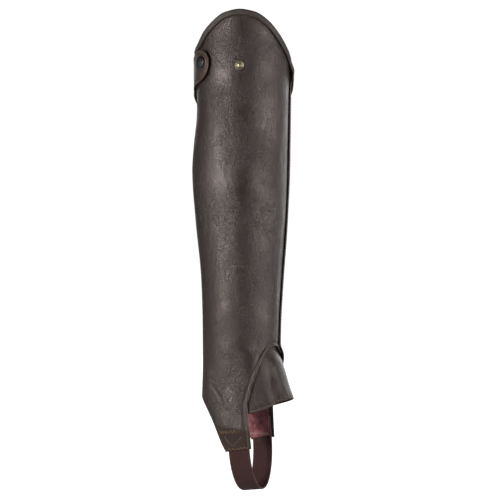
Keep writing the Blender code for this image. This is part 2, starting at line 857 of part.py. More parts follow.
def brass_stud(collection):
    """The round stud: a raised rim, an inner ring and a low dome."""
    radius = STUD_DIAMETER / 2
    profile = (
        (0.0, 1.7),
        (radius * 0.34, 1.55),
        (radius * 0.5, 1.2),
        (radius * 0.56, 1.5),
        (radius * 0.66, 1.5),
        (radius * 0.72, 1.15),
        (radius * 0.82, 1.6),
        (radius * 0.94, 1.5),
        (radius, 0.9),
        (radius, 0.3),
        (radius * 0.94, 0.0),
        (0.0, 0.0),
    )
    turned("brass_stud", profile, STUD_ANGLE, STUD_HEIGHT, GAP, "old_brass", collection)


def tongue_lining(collection):
    """The suede inside the inner tongue, stopping short of the leather's edges."""
    front, back = [], []
    front_end = INNER_TONGUE_END + TONGUE_END_RISE + LINING_MARGIN / 2
    for height in np.linspace(LINING_TOP, front_end, EDGE_POINTS):
        ahead = tongue_front(height) - LINING_MARGIN
        front.append((-side_angle(ahead, height), height))
    back_end = INNER_TONGUE_END + LINING_MARGIN / 2
    for height in np.linspace(back_end, LINING_TOP, EDGE_POINTS):
        back.append((-side_angle(lining_back(height), height), height))
    edges = [front, [front[-1], back[0]], back, [back[-1], front[0]]]
    over_strap = UNDER - ELASTIC - 2 * GAP
    return leg_piece("tongue_lining", edges, lambda a, h: over_strap, SUEDE, "burgundy_suede", collection)


def strap_point(along, across):
    """A point of the strap's outer face: along runs from -1 (outer end) to 1 (inner end)."""
    side = -1 if along < 0 else 1
    end = OUTER_TONGUE_END if side < 0 else INNER_TONGUE_END
    hem = end + TONGUE_END_RISE / 2
    tilt = math.radians(STRAP_TILT)
    reach = abs(along)
    if reach > STRAP_FREE:
        up = (reach - STRAP_FREE) / (1 - STRAP_FREE) * STRAP_SEWN
        ahead = STRAP_MIDDLE_X + across * math.cos(tilt) - up * math.sin(tilt)
        height = hem + across * math.sin(tilt) + up
        turn = math.radians(side_angle(ahead, height))
        return Vector((ahead, side * (leg_side(height) * math.sin(turn) + UNDER), height))
    swing = math.pi / 2 * (1 - reach / STRAP_FREE)
    ahead = STRAP_MIDDLE_X + across * math.cos(tilt) + STRAP_FORWARD * math.sin(swing)
    edge = hem + across * math.sin(tilt)
    turn = math.radians(side_angle(STRAP_MIDDLE_X + across * math.cos(tilt), edge))
    width = (leg_side(edge) * math.sin(turn) + UNDER) * math.cos(swing)
    bottom = OUTER_TONGUE_END + TONGUE_END_RISE / 2 - STRAP_DROP
    drop = (hem - bottom) * math.sin(swing)
    return Vector((ahead, side * width, edge - drop))


def elastic_strap(collection):
    """The woven elastic loop, its two ends lying inside the tongues."""
    alongs = np.linspace(-1, 1, STRAP_ROWS + 1)
    acrosses = np.linspace(-STRAP_WIDTH / 2, STRAP_WIDTH / 2, STRAP_COLUMNS + 1)
    points = [strap_point(along, across) for along in alongs for across in acrosses]
    faces = []
    across = STRAP_COLUMNS + 1
    for row in range(STRAP_ROWS):
        for column in range(STRAP_COLUMNS):
            corner = row * across + column
            faces.append((corner, corner + across, corner + across + 1, corner + 1))
    return add_wall("elastic_strap", points, faces, ELASTIC, "brown_elastic", collection)


def build():
    """Clear the scene and build every piece."""
    for old in list(bpy.data.objects):
        bpy.data.objects.remove(old)
    parts = bpy.data.collections.new("half_chap")
    guides = bpy.data.collections.new("cutters")
    bpy.context.scene.collection.children.link(parts)
    bpy.context.scene.collection.children.link(guides)
    outer_panel(parts)
    inner_panel(parts)
    instep_gusset(parts)
    back_strip(parts)
    zip_tapes(parts)
    zip_chain(parts)
    zip_slider(parts, guides)
    zip_pull(parts, guides)
    top_binding(parts)
    snap_tab(parts)
    snap(parts)
    brass_stud(parts)
    tongue_lining(parts)
    elastic_strap(parts)


build()
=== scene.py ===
"""Looks of a leather riding half chap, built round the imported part.

Sizes are in millimetres and angles in degrees, unless a name says otherwise. An angle runs
round the leg from the shin (0) by the outer side (90) to the back (180); the inner side is
at -90. A height is measured up from the widest part of the calf.
"""
import math

import bmesh
import bpy
import numpy as np
from mathutils import Matrix, Vector
from mathutils.bvhtree import BVHTree
from mathutils.geometry import delaunay_2d_cdt


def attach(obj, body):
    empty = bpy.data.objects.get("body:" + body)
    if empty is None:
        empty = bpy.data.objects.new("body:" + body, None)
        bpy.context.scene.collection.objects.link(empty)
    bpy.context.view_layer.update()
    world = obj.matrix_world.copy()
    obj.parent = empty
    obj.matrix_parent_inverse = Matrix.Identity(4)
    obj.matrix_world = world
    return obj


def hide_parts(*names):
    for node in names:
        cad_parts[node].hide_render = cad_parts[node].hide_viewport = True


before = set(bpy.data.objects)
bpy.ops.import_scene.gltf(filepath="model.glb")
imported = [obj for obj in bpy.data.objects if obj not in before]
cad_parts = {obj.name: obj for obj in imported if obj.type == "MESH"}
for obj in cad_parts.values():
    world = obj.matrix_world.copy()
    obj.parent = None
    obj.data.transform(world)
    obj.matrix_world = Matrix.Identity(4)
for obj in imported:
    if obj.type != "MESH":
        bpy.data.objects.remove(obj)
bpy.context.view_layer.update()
MM = 0.001

# Leather, cloth and the gap between pieces
LEATHER = 1.6
TAPE = 1.0
ELASTIC = 1.8
SUEDE = 1.0
GAP = 0.3
LAP = 8.0
UNDER = -(LEATHER + GAP)
OVER = LEATHER + 2.2 * GAP

# Leg form: height, front reach, back reach, half width
LEG_SECTIONS = (
    (185, 51.6, 48.0, 51.5),
    (110, 51.8, 48.4, 51.5),
    (65, 51.4, 48.0, 50.8),
    (25, 50.6, 52.8, 51.5),
    (0, 50.0, 54.8, 52.2),
    (-50, 48.3, 50.8, 49.0),
    (-120, 43.4, 43.6, 44.2),
    (-165, 40.8, 42.4, 41.8),
    (-188, 40.4, 42.4, 40.8),
    (-207, 48.2, 42.6, 39.5),
    (-233, 57.4, 43.8, 37.5),
    (-250, 63.4, 44.5, 36.2),
    (-280, 65.0, 43.0, 34.4),
    (-312, 65.5, 41.0, 33.2),
)

# Rim of the finished top edge: angle, height
RIM = (
    (-180, 122),
    (-150, 119),
    (-115, 102),
    (-85, 92),
    (-45, 87),
    (-30, 91),
    (-20, 105),
    (-9, 121.5),
    (5, 135),
    (18, 147),
    (34, 159.5),
    (50, 167.5),
    (67, 170),
    (84, 167),
    (100, 158.5),
    (115, 148.5),
    (130, 136.5),
    (150, 128),
)
RIM_FLARE = 1.7
RIM_FLARE_ANGLE = -14.0
RIM_FLARE_SPREAD = 36.0
RIM_FLARE_START = 78.0
RIM_FLARE_RISE = 36.0

# Arch over the instep: angle from its middle, height
ARCH = (
    (0, -190),
    (14, -191.5),
    (26, -196.5),
    (38, -205),
    (50, -219),
    (58, -233),
    (66, -250),
)
ARCH_MIDDLE = 3.0

# Front edge of the tongue below the arch: height, distance ahead of the leg's axis
TONGUE_FRONT = ((-250, 22.5), (-268, 23.5), (-304, 26.5))
TONGUE_BACK_X = -3.5
OUTER_TONGUE_END = -303.8
INNER_TONGUE_END = -297.4
TONGUE_END_RISE = 4.6

# Hem from the back of the tongue to the back of the leg: angle, height
BACK_HEM = (
    (94, -305),
    (101, -297),
    (109, -285),
    (118, -272),
    (131, -259),
    (144, -251),
    (157, -247),
    (171, -245),
)
HEM_FADE = 60.0

# Hem of the gusset: angle, height
GUSSET_HEM = (
    (-80, -262),
    (-53, -254.6),
    (-39, -251.4),
    (-20, -247.6),
    (0, -245.3),
    (22, -247.2),
    (40, -252.8),
    (67, -261.2),
    (80, -263.4),
)
GUSSET_TUCK = 10.0
GUSSET_EDGE_ANGLE = 78.0
GUSSET_SINK = 0.7
GUSSET_SINK_START = -216.0
GUSSET_SINK_RISE = 20.0
GUSSET_FOLD_TOP = -196.0
GUSSET_FOLD_LENGTH = 50.0
GUSSET_FOLD_ANGLE = 34.0
GUSSET_FOLD_SPREAD = 11.0
GUSSET_FOLD_DEPTH = 2.6
GUSSET_RIDGE_ANGLE = 15.0
GUSSET_RIDGE_HEIGHT = 1.2

FRONT_SEAM_ANGLE = -19.0
FRONT_SEAM_EASE = 26.0
ZIP_SIDE_START = -125.0
ZIP_SIDE_EASE = 25.0

# Back edge of the outer panel: height, angle
BACK_EDGE = ((125, 150), (60, 146), (0, 145), (-60, 152), (-120, 156), (-250, 157))

# Zip down the back
ZIP_ANGLE = 180.0
ZIP_TOP = 60.0
ZIP_BOTTOM = -243.0
ZIP_OPENING = 16.0
TAPE_TOP = 108.0
TAPE_IN_TEETH = 0.5
TAPE_TUCK = 5.0
TAPE_DEPTH = 4.05
STRIP_TOP = 114.0
STRIP_BOTTOM = -246.5
STRIP_SINK_ANGLE = 166.0
STRIP_SINK_EASE = 8.0
CHAIN_WIDTH = 5.0
CHAIN_THICKNESS = 2.2
CHAIN_DEPTH = 4.3
TOOTH_PITCH = 1.7

# Suede inside the inner tongue: its top, its margin, and its back edge as height, ahead
LINING_TOP = -243.0
LINING_MARGIN = 3.5
LINING_BACK = ((-297.4, -1.5), (-285, -8), (-265, -20), (-243, -27))

# Snap tab over the top of the zip: angle, height
TAB_OUTLINE = (
    (205, 107),
    (192, 112),
    (178, 115),
    (150, 120),
    (132, 125.5),
    (121, 127.5),
    (112, 125.5),
    (107, 121),
    (105, 115),
    (106, 108),
    (110, 101),
    (117, 96),
    (126, 93),
    (138, 91),
    (152, 87),
    (166, 80),
    (180, 71),
    (194, 65),
    (205, 62),
)
TAB_THICKNESS = 1.8
TAB_STAND_OFF = (
    (104, 2.8),
    (120, 2.3),
    (145, 1.1),
    (156, 1.0),
    (168, 2.8),
    (180, 3.4),
    (190, 0.8),
    (197, UNDER + 2 * GAP),
    (205, UNDER + GAP),
)
SNAP_ANGLE = 117.5
SNAP_HEIGHT = 114.5

# Elastic strap under the boot
STRAP_WIDTH = 24.0
STRAP_SEWN = 24.0
STRAP_DROP = 45.8
STRAP_MIDDLE_X = 11.3
STRAP_FORWARD = 3.6
STRAP_TILT = 7.0
STRAP_FREE = 0.62
STRAP_BOTTOM = OUTER_TONGUE_END + TONGUE_END_RISE / 2 - STRAP_DROP

# Binding round the top
BINDING_SKIN = 1.0
BINDING_GAP = 0.65
BINDING_START = 149.0
BINDING_STOP = -171.0
BINDING_LAP = 8.0
BINDING_EASE = 6.0
BINDING_SKIRT = 5.0
BINDING_CROWN = 1.7

# Radius at which a piece is laid flat, and the spacing of the meshes
FLAT_RADIUS = 46.0
GRID = 2.3
EDGE_STEP = 1.6
EDGE_RINGS = (0.6, 1.4, 2.2, 3.0, 3.8, 4.8)
EDGE_POINTS = 90
RING_KEPT = 0.93
ROW_STEP = 0.866
GRID_MARGIN = 0.6
SOFT_EDGE = 0.3

# The photograph: size of a pixel, the pixel of the origin, and the camera
PIXEL = 1.087
ORIGIN_PIXEL = (241.5, 170.0)
CAMERA_AZIMUTH = 25.0
CAMERA_ELEVATION = 1.5
CAMERA_DISTANCE_M = 2.2
IMAGE_PIXELS = 500
SENSOR_MM = 36.0


class Curve:
    """A smooth curve through a table's rows that never overshoots them."""

    def __init__(self, rows, column=1):
        table = np.array(sorted(rows), dtype=float)
        self.at = table[:, 0]
        self.value = table[:, column]
        slope = np.diff(self.value) / np.diff(self.at)
        before, after = slope[:-1], slope[1:]
        same = before * after > 0
        total = np.where(same, before + after, 1.0)
        middle = np.where(same, 2 * before * after / total, 0.0)
        self.slope = np.concatenate(([slope[0]], middle, [slope[-1]]))

    def __call__(self, at):
        at = np.clip(at, self.at[0], self.at[-1])
        i = np.clip(np.searchsorted(self.at, at, side="right") - 1, 0, len(self.at) - 2)
        step = self.at[i + 1] - self.at[i]
        t = (at - self.at[i]) / step
        share = ease(t)
        level = self.value[i] * (1 - share) + self.value[i + 1] * share
        bend = self.slope[i] * (t ** 3 - 2 * t ** 2 + t) + self.slope[i + 1] * (t ** 3 - t ** 2)
        return level + bend * step


def ease(t):
    """0 to 1 as t goes from 0 to 1, level at both ends."""
    t = np.clip(t, 0.0, 1.0)
    return t * t * (3 - 2 * t)


def hump(distance, spread):
    """1 in the middle, falling smoothly to 0 at the spread."""
    return 1 - ease(np.abs(distance) / spread)


def bell(distance, width):
    """1 in the middle, falling off like a soft dent."""
    return np.exp(-((distance / width) ** 2))


leg_front = Curve(LEG_SECTIONS, 1)
leg_back = Curve(LEG_SECTIONS, 2)
leg_side = Curve(LEG_SECTIONS, 3)
rim_height = Curve(RIM)
arch_height = Curve(ARCH)
tongue_front = Curve(TONGUE_FRONT)
back_hem = Curve(BACK_HEM)
gusset_hem = Curve(GUSSET_HEM)
back_edge = Curve(BACK_EDGE)
tab_stand_off = Curve(TAB_STAND_OFF)
lining_back = Curve(LINING_BACK)


def leg_surface(angle, height):
    """Points of the leg form at angles and heights."""
    angle, height = np.broadcast_arrays(np.asarray(angle, float), np.asarray(height, float))
    turn = np.radians(angle)
    reach = np.where(np.cos(turn) > 0, leg_front(height), leg_back(height))
    around = hump((angle + 180) % 360 - 180 - RIM_FLARE_ANGLE, RIM_FLARE_SPREAD)
    flare = RIM_FLARE * around * ease((height - RIM_FLARE_START) / RIM_FLARE_RISE)
    x = (reach + flare) * np.cos(turn)
    y = -(leg_side(height) + flare) * np.sin(turn)
    return np.stack((x, y, height), axis=-1)


def leg_normal(angle, height):
    """Outward directions of the leg form."""
    round_leg = leg_surface(angle + 1, height) - leg_surface(angle - 1, height)
    up_leg = leg_surface(angle, height + 2) - leg_surface(angle, height - 2)
    normal = np.cross(up_leg, round_leg)
    return normal / np.linalg.norm(normal, axis=-1, keepdims=True)


def on_leg(angle, height, out=0.0):
    """Points at a distance outside the leg form."""
    angle, height = np.asarray(angle, float), np.asarray(height, float)
    return leg_surface(angle, height) + leg_normal(angle, height) * np.asarray(out)[..., None]


def degrees_for(width, angle, height):
    """The angle that a width covers round the leg at a place."""
    step = leg_surface(angle + 1.0, height) - leg_surface(angle, height)
    return width / np.linalg.norm(step, axis=-1)


def side_angle(ahead, height):
    """The angle on the outer side of a point so far ahead of the axis."""
    reach = np.where(np.asarray(ahead) > 0, leg_front(height), leg_back(height))
    return np.degrees(np.arccos(ahead / reach))


def seen(px, py):
    """The flat place, girth and height, of a pixel of the photograph on the outer side."""
    toward = math.radians(CAMERA_ELEVATION) * leg_side(0.0)
    height = (ORIGIN_PIXEL[1] - py) * PIXEL + toward
    angles = np.linspace(90.0 - CAMERA_AZIMUTH + 89.0, 90.0 - CAMERA_AZIMUTH - 89.0, 90)
    points = leg_surface(angles, height)
    turn = math.radians(CAMERA_AZIMUTH)
    across = points[:, 0] * math.cos(turn) + points[:, 1] * math.sin(turn)
    angle = np.interp((px - ORIGIN_PIXEL[0]) * PIXEL, across, angles)
    return math.radians(angle) * FLAT_RADIUS, height


def flat(angle, height):
    """The flat place of an angle and a height."""
    return math.radians(angle) * FLAT_RADIUS, height


def running_length(line):
    """Length of a line up to each of its points."""
    return np.concatenate(([0.0], np.cumsum(np.linalg.norm(np.diff(line, axis=0), axis=1))))


def spaced(points, step):
    """Points evenly spaced along a line, with both its ends."""
    line = np.array(points, dtype=float)
    along = running_length(line)
    count = max(1, round(along[-1] / step))
    stops = np.linspace(0, along[-1], count + 1)
    return np.column_stack([np.interp(stops, along, line[:, i]) for i in range(line.shape[1])])


def distance_to(points, line):
    """Distance from flat points to an open line, and how far along it, 0 to 1."""
    best = np.full(len(points), np.inf)
    where = np.zeros(len(points))
    line = np.asarray(line, dtype=float)
    lengths = np.linalg.norm(np.diff(line, axis=0), axis=1)
    total = max(lengths.sum(), 1e-6)
    passed = 0.0
    for start, stop, length in zip(line[:-1], line[1:], lengths):
        if length < 1e-9:
            continue
        way = (stop - start) / length
        t = np.clip((points - start) @ way, 0, length)
        gap = np.linalg.norm(points - start - t[:, None] * way, axis=1)
        nearer = gap < best
        best = np.where(nearer, gap, best)
        where = np.where(nearer, (passed + t) / total, where)
        passed += length
    return best, where


def inside(points, outline):
    """Which flat points lie inside a closed outline."""
    x, y = points[:, 0], points[:, 1]
    crossed = np.zeros(len(points), dtype=bool)
    for (x0, y0), (x1, y1) in zip(outline, np.roll(outline, -1, axis=0)):
        if y0 == y1:
            continue
        crossed ^= ((y0 > y) != (y1 > y)) & (x < x0 + (y - y0) * (x1 - x0) / (y1 - y0))
    return crossed


class Cut:
    """A flat piece: its points, its triangles and its distance from each named edge."""

    def __init__(self, edges, grid=GRID, step=EDGE_STEP, rings=EDGE_RINGS):
        lines = {}
        for name, edge in edges:
            edge = np.array(edge, dtype=float)
            lines[name] = np.column_stack((np.radians(edge[:, 0]) * FLAT_RADIUS, edge[:, 1]))
        outline = np.concatenate([spaced(line, step)[:-1] for line in lines.values()])
        ahead = np.roll(outline, -1, axis=0) - np.roll(outline, 1, axis=0)
        inward = np.column_stack((-ahead[:, 1], ahead[:, 0]))
        inward /= np.linalg.norm(inward, axis=1, keepdims=True)
        x, y = outline[:, 0], outline[:, 1]
        if np.sum(x * np.roll(y, -1) - np.roll(x, -1) * y) < 0:
            inward = -inward
        closed = np.vstack((outline, outline[:1]))
        kept = []
        for depth in rings:
            ring = outline + inward * depth
            gap = distance_to(ring, closed)[0]
            kept.append(ring[(gap > RING_KEPT * depth) & inside(ring, outline)])
        low, high = outline.min(axis=0), outline.max(axis=0)
        rows = np.arange(low[1], high[1], grid * ROW_STEP)
        columns = np.arange(low[0], high[0], grid)
        middle = np.array([(column + (i % 2) * grid / 2, row)
                           for i, row in enumerate(rows) for column in columns])
        middle = middle[inside(middle, outline)]
        margin = (rings[-1] if rings else 0.0) + GRID_MARGIN * grid
        middle = middle[distance_to(middle, closed)[0] > margin]
        points = [Vector(p) for p in np.vstack((outline, *kept, middle))]
        cut = delaunay_2d_cdt(points, [], [list(range(len(outline)))], 1, 1e-4)
        self.flat = np.array([tuple(p) for p in cut[0]])
        self.faces = np.array([tuple(reversed(face)) for face in cut[2]])
        self.angle = np.degrees(self.flat[:, 0] / FLAT_RADIUS)
        self.height = self.flat[:, 1]
        self.lines = lines
        self.away = {name: distance_to(self.flat, line)[0] for name, line in lines.items()}
        self.rim = distance_to(self.flat, closed)[0]


def new_object(name, vertices, faces, slots, smooth=True):
    """A mesh object from points in millimetres."""
    mesh = bpy.data.meshes.new(name)
    mesh.from_pydata((np.asarray(vertices) * MM).tolist(), [], [tuple(map(int, f)) for f in faces])
    for slot in slots:
        mesh.materials.append(slot)
    if smooth:
        mesh.shade_smooth()
    made = bpy.data.objects.new(name, mesh)
    bpy.context.scene.collection.objects.link(made)
    return made


def face_outward(mesh):
    """Turn all faces of a closed mesh outward."""
    shape = bmesh.new()
    shape.from_mesh(mesh)
    bmesh.ops.recalc_face_normals(shape, faces=shape.faces)
    shape.to_mesh(mesh)
    shape.free()


def paint(made, name, values):
    """Store a number at each point of a mesh, for its material to read."""
    layer = made.data.attributes.new(name, "FLOAT", "POINT")
    layer.data.foreach_set("value", np.asarray(values, dtype=np.float32))


def shell(name, cut, out, thickness, slots, marks):
    """A wrapped piece as a closed shell: outer face, inner face and a softened rim."""
    count = len(cut.flat)
    pairs = {}
    for a, b, c in cut.faces:
        for start, stop in ((a, b), (b, c), (c, a)):
            pairs[(start, stop)] = True
    border = [(a, b) for a, b in pairs if (b, a) not in pairs]
    on_border = np.zeros(count, dtype=bool)
    for a, b in border:
        on_border[a] = True
    drop = np.where(on_border, SOFT_EDGE * thickness, 0.0)
    outer = on_leg(cut.angle, cut.height, out - drop)
    inner = on_leg(cut.angle, cut.height, out - thickness + drop)
    rims = [(b, a, a + count, b + count) for a, b in border]
    back = cut.faces[:, ::-1] + count
    faces = [*cut.faces.tolist(), *back.tolist(), *rims]
    made = new_object(name, np.vstack((outer, inner)), faces, slots)
    if len(slots) > 1:
        index = np.zeros(len(faces), dtype=np.int32)
        index[len(cut.faces):2 * len(cut.faces)] = 1
        made.data.polygons.foreach_set("material_index", index)
    for mark, values in marks.items():
        paint(made, mark, np.concatenate((values, values)))
    return made


# How much of their depth the creases and dents below are given
CREASE_SCALE = 0.55
DENT_SCALE = 0.6


def crease_relief(points, creases):
    """Soft troughs, each with a low swell at its sides. Also how deep each point lies in one."""
    relief = np.zeros(len(points))
    shade = np.zeros(len(points))
    for places, width, depth in creases:
        line = spaced(places, 3.0)
        gap, along = distance_to(points, line)
        fade = ease(along / 0.22) * ease((1 - along) / 0.22)
        wander = 1 + 0.25 * np.sin(along * 17.0 + depth * 40.0)
        trough = bell(gap, width * wander)
        swell = bell(gap - 2.1 * width, 1.3 * width)
        relief += CREASE_SCALE * fade * depth * (0.35 * swell - trough)
        shade = np.maximum(shade, fade * trough * min(1.0, abs(depth) * 0.9))
    return relief, shade


def dent_relief(points, dents):
    """Broad shallow dents and swells."""
    relief = np.zeros(len(points))
    for (x, y), across, along, depth in dents:
        reach = np.hypot((points[:, 0] - x) / across, (points[:, 1] - y) / along)
        relief -= DENT_SCALE * depth * bell(reach, 1.0)
    return relief


def painted_highlight_places(points, highlights):
    """How far each point lies in a painted highlight, a lighter place."""
    wear_and_painted_highlight = np.zeros(len(points))
    for (x, y), across, along, strength in highlights:
        reach = np.hypot((points[:, 0] - x) / across, (points[:, 1] - y) / along)
        wear_and_painted_highlight = np.maximum(wear_and_painted_highlight, strength * bell(reach, 1.0))
    return wear_and_painted_highlight


def sway(points, seed):
    """Gentle unevenness of leather that has been worn."""
    x, y = points[:, 0], points[:, 1]
    wave = np.sin(x * 0.071 + y * 0.023 + seed) + np.sin(x * 0.045 - y * 0.051 + 1.7 * seed)
    wave += 0.7 * np.sin(x * 0.14 + 2.3 * seed) * np.sin(y * 0.083 + seed)
    return 0.12 * wave


# Creases seen on the outer side: pixels of the photograph, half width, depth
OUTER_CREASES = (
    (((226, 119), (229, 126), (232, 136)), 1.5, 0.55),
    (((217, 159), (222, 165), (227, 172)), 1.6, 0.65),
    (((234, 156), (230, 163), (227, 172), (228, 184)), 1.8, 0.55),
    (((268, 117), (264, 136), (261, 152), (260, 166)), 1.9, 0.6),
    (((271, 150), (268, 162), (264, 172)), 1.7, 0.35),
    (((229, 176), (233, 196), (236, 216)), 2.6, 0.35),
    (((222, 246), (226, 256), (232, 268)), 2.4, 0.35),
    (((262, 226), (266, 244), (268, 262)), 2.8, 0.35),
    (((238, 268), (245, 290), (247, 312)), 3.4, 0.3),
    (((224, 262), (219, 270), (224, 280)), 1.9, 0.3),
    (((262, 318), (266, 330), (264, 342)), 2.0, 0.4),
    (((255, 338), (258, 348), (262, 352)), 1.6, 0.35),
    (((240, 340), (246, 352), (250, 368)), 2.4, 0.35),
    (((211, 382), (215, 388), (219, 394), (222, 401)), 1.3, 1.0),
    (((227, 384), (223, 389), (220, 394), (219, 399)), 1.2, 0.9),
    (((219, 392), (223, 404), (225, 414), (226, 426)), 1.3, 1.0),
    (((203, 376), (207, 386), (210, 400)), 2.0, 0.35),
    (((236, 392), (240, 404), (240, 418)), 2.2, 0.35),
    (((212, 70), (216, 70.6), (220, 70)), 0.9, 0.25),
    (((205, 200), (208, 222), (207, 246)), 2.6, 0.3),
)

# Dents seen on the outer side: pixel, half width, half height, depth
OUTER_DENTS = (
    ((222, 66), 9.0, 7.0, 0.5),
    ((236, 90), 12.0, 16.0, 0.45),
    ((221, 173), 5.0, 8.0, -0.55),
    ((230, 148), 7.0, 12.0, 0.4),
    ((220, 235), 6.0, 12.0, -0.5),
    ((226, 210), 9.0, 18.0, 0.4),
    ((224, 292), 6.5, 16.0, -0.5),
    ((234, 264), 9.0, 14.0, 0.4),
    ((224, 352), 7.0, 15.0, -0.4),
    ((266, 340), 6.0, 8.0, -0.6),
    ((266, 162), 5.0, 10.0, -0.45),
    ((268, 300), 8.0, 22.0, 0.35),
    ((207, 378), 10.0, 15.0, -1.6),
    ((212, 404), 8.0, 12.0, -1.2),
    ((230, 402), 7.0, 11.0, -1.1),
    ((222, 418), 7.0, 9.0, -0.8),
)

# Painted highlights, lighter places on the swells seen on the outer side: pixel, half width, half
# height, strength
OUTER_PAINTED_HIGHLIGHTS = (
    ((213, 382), 8.0, 15.0, 0.42),
    ((226, 411), 9.0, 12.0, 0.40),
    ((237, 378), 6.0, 12.0, 0.16),
    ((224, 292), 7.0, 18.0, 0.20),
    ((221, 173), 6.0, 9.0, 0.16),
    ((220, 236), 7.0, 13.0, 0.20),
    ((266, 340), 6.0, 9.0, 0.16),
    ((267, 165), 5.0, 12.0, 0.14),
)

# The same out of the camera's sight, where an angle and a height stand for the pixels
HIDDEN_OUTER_CREASES = (
    (((-2, 40), (3, 18), (1, -8)), 2.2, 0.4),
    (((4, -70), (9, -96), (6, -122)), 2.6, 0.4),
    (((134, 30), (128, 8), (131, -18)), 2.4, 0.4),
    (((128, -8), (136, -26)), 1.9, 0.35),
    (((140, -92), (133, -118), (137, -150)), 2.6, 0.4),
    (((126, -210), (131, -226), (128, -244)), 2.0, 0.5),
)

INNER_CREASES = (
    (((-62, 52), (-70, 38), (-76, 20)), 1.7, 0.6),
    (((-90, 48), (-84, 34), (-76, 20), (-77, 2)), 1.9, 0.55),
    (((-48, 12), (-52, -14), (-49, -36)), 2.3, 0.5),
    (((-110, 10), (-104, -12), (-108, -34)), 2.2, 0.5),
    (((-120, 60), (-114, 44)), 1.8, 0.4),
    (((-74, -60), (-80, -86), (-77, -112)), 2.6, 0.45),
    (((-130, -70), (-124, -96), (-127, -124)), 2.5, 0.4),
    (((-46, -92), (-52, -118), (-50, -146)), 2.5, 0.45),
    (((-98, -128), (-92, -152), (-96, -176)), 2.3, 0.45),
    (((-112, -214), (-104, -224), (-98, -233)), 1.8, 0.75),
    (((-82, -215), (-90, -224), (-98, -233), (-100, -262)), 1.8, 0.75),
    (((-128, -214), (-122, -230)), 1.8, 0.5),
    (((-72, -236), (-76, -256)), 2.0, 0.4),
    (((-32, 60), (-36, 30), (-33, 0)), 2.4, 0.35),
)

INNER_DENTS = (
    ((-70, 64), 10.0, 14.0, 0.5),
    ((-66, 8), 7.0, 12.0, -0.5),
    ((-92, 6), 8.0, 14.0, -0.45),
    ((-56, -50), 9.0, 18.0, 0.4),
    ((-86, -96), 9.0, 20.0, -0.4),
    ((-120, -40), 10.0, 20.0, 0.4),
    ((-108, -160), 8.0, 16.0, -0.4),
    ((-110, -244), 7.0, 11.0, -0.6),
    ((-84, -246), 7.0, 11.0, -0.6),
)

# Painted highlights on the inner side
INNER_PAINTED_HIGHLIGHTS = (
    ((-112, -226), 8.0, 14.0, 0.36),
    ((-90, -248), 9.0, 12.0, 0.34),
    ((-66, -60), 7.0, 16.0, 0.18),
    ((-100, 20), 7.0, 12.0, 0.18),
)

# Creases seen on the gusset: pixels of the photograph, half width, depth
GUSSET_CREASES = (
    (((246, 372), (252, 388), (254, 402)), 2.0, 0.35),
    (((259, 366), (262, 382), (263, 400)), 2.4, 0.2),
    (((268, 354), (271, 372), (273, 396)), 3.6, 0.9),
)


def from_pixels(creases):
    """Creases given by pixels, laid on the flat piece."""
    return [([seen(*place) for place in places], width, depth) for places, width, depth in creases]


def from_angles(creases):
    """Creases given by angle and height, laid on the flat piece."""
    return [([flat(*place) for place in places], width, depth) for places, width, depth in creases]


class Look:
    """A material under construction: nodes added by kind, with their inputs."""

    def __init__(self, name):
        self.material = bpy.data.materials.new(name)
        self.material.use_nodes = True
        self.tree = self.material.node_tree
        self.shader = self.tree.nodes["Principled BSDF"]
        self.place = self.add("ShaderNodeTexCoord").outputs["Object"]

    def add(self, kind, inputs=None, **settings):
        node = self.tree.nodes.new(kind)
        for key, value in settings.items():
            setattr(node, key, value)
        for key, value in (inputs or {}).items():
            self.feed(node.inputs[key], value)
        return node

    def feed(self, socket, value):
        if isinstance(value, bpy.types.NodeSocket):
            self.tree.links.new(value, socket)
        else:
            socket.default_value = value

    def set(self, **values):
        for key, value in values.items():
            self.feed(self.shader.inputs[key.replace("_", " ")], value)

    def stretched(self, x=1.0, y=1.0, z=1.0):
        return self.add("ShaderNodeMapping", {"Vector": self.place, "Scale": (x, y, z)}).outputs[0]

    def noise(self, scale, detail=3.0, rough=0.55, place=None, warp=0.0):
        inputs = {"Vector": place or self.place, "Scale": scale, "Detail": detail,
                  "Roughness": rough, "Distortion": warp}
        return self.add("ShaderNodeTexNoise", inputs).outputs["Fac"]

    def cells(self, scale, place):
        """How far a point is from the edges of a pattern of cells."""
        node = self.add("ShaderNodeTexVoronoi", {"Vector": place, "Scale": scale},
                        feature="DISTANCE_TO_EDGE")
        return node.outputs["Distance"]

    def vector(self, operation, inputs):
        return self.add("ShaderNodeVectorMath", inputs, operation=operation).outputs[0]

    def warped(self, place, amount, scale):
        noise = self.add("ShaderNodeTexNoise", {"Vector": place, "Scale": scale, "Detail": 2.0})
        shift = self.vector("SUBTRACT", {0: noise.outputs["Color"], 1: (0.5, 0.5, 0.5)})
        moved = self.vector("SCALE", {0: shift, 3: amount})
        return self.vector("ADD", {0: place, 1: moved})

    def span(self, value, low, high, start=0.0, stop=1.0):
        inputs = {"Value": value, "From Min": low, "From Max": high,
                  "To Min": start, "To Max": stop}
        return self.add("ShaderNodeMapRange", inputs).outputs[0]

    def math(self, operation, first, second=0.0):
        return self.add("ShaderNodeMath", {0: first, 1: second}, operation=operation).outputs[0]

    def times(self, first, second):
        return self.math("MULTIPLY", first, second)

    def mark(self, name):
        return self.add("ShaderNodeAttribute", None, attribute_name=name).outputs["Fac"]

    def mix(self, share, first, second):
        node = self.add("ShaderNodeMix", None, data_type="RGBA")
        self.feed(node.inputs[0], share)
        for socket, colour in ((node.inputs[6], first), (node.inputs[7], second)):
            if isinstance(colour, tuple):
                colour = (*colour, 1.0)
            self.feed(socket, colour)
        return node.outputs[2]

    def bump(self, height, depth, under=None):
        inputs = {"Height": height, "Strength": 1.0, "Distance": depth}
        if under is not None:
            inputs["Normal"] = under
        return self.add("ShaderNodeBump", inputs).outputs[0]


PATCH_COLOUR = (0.0210, 0.0080, 0.0040)


def scaled(colour, share):
    """A colour made lighter or darker."""
    return tuple(c * share for c in colour)


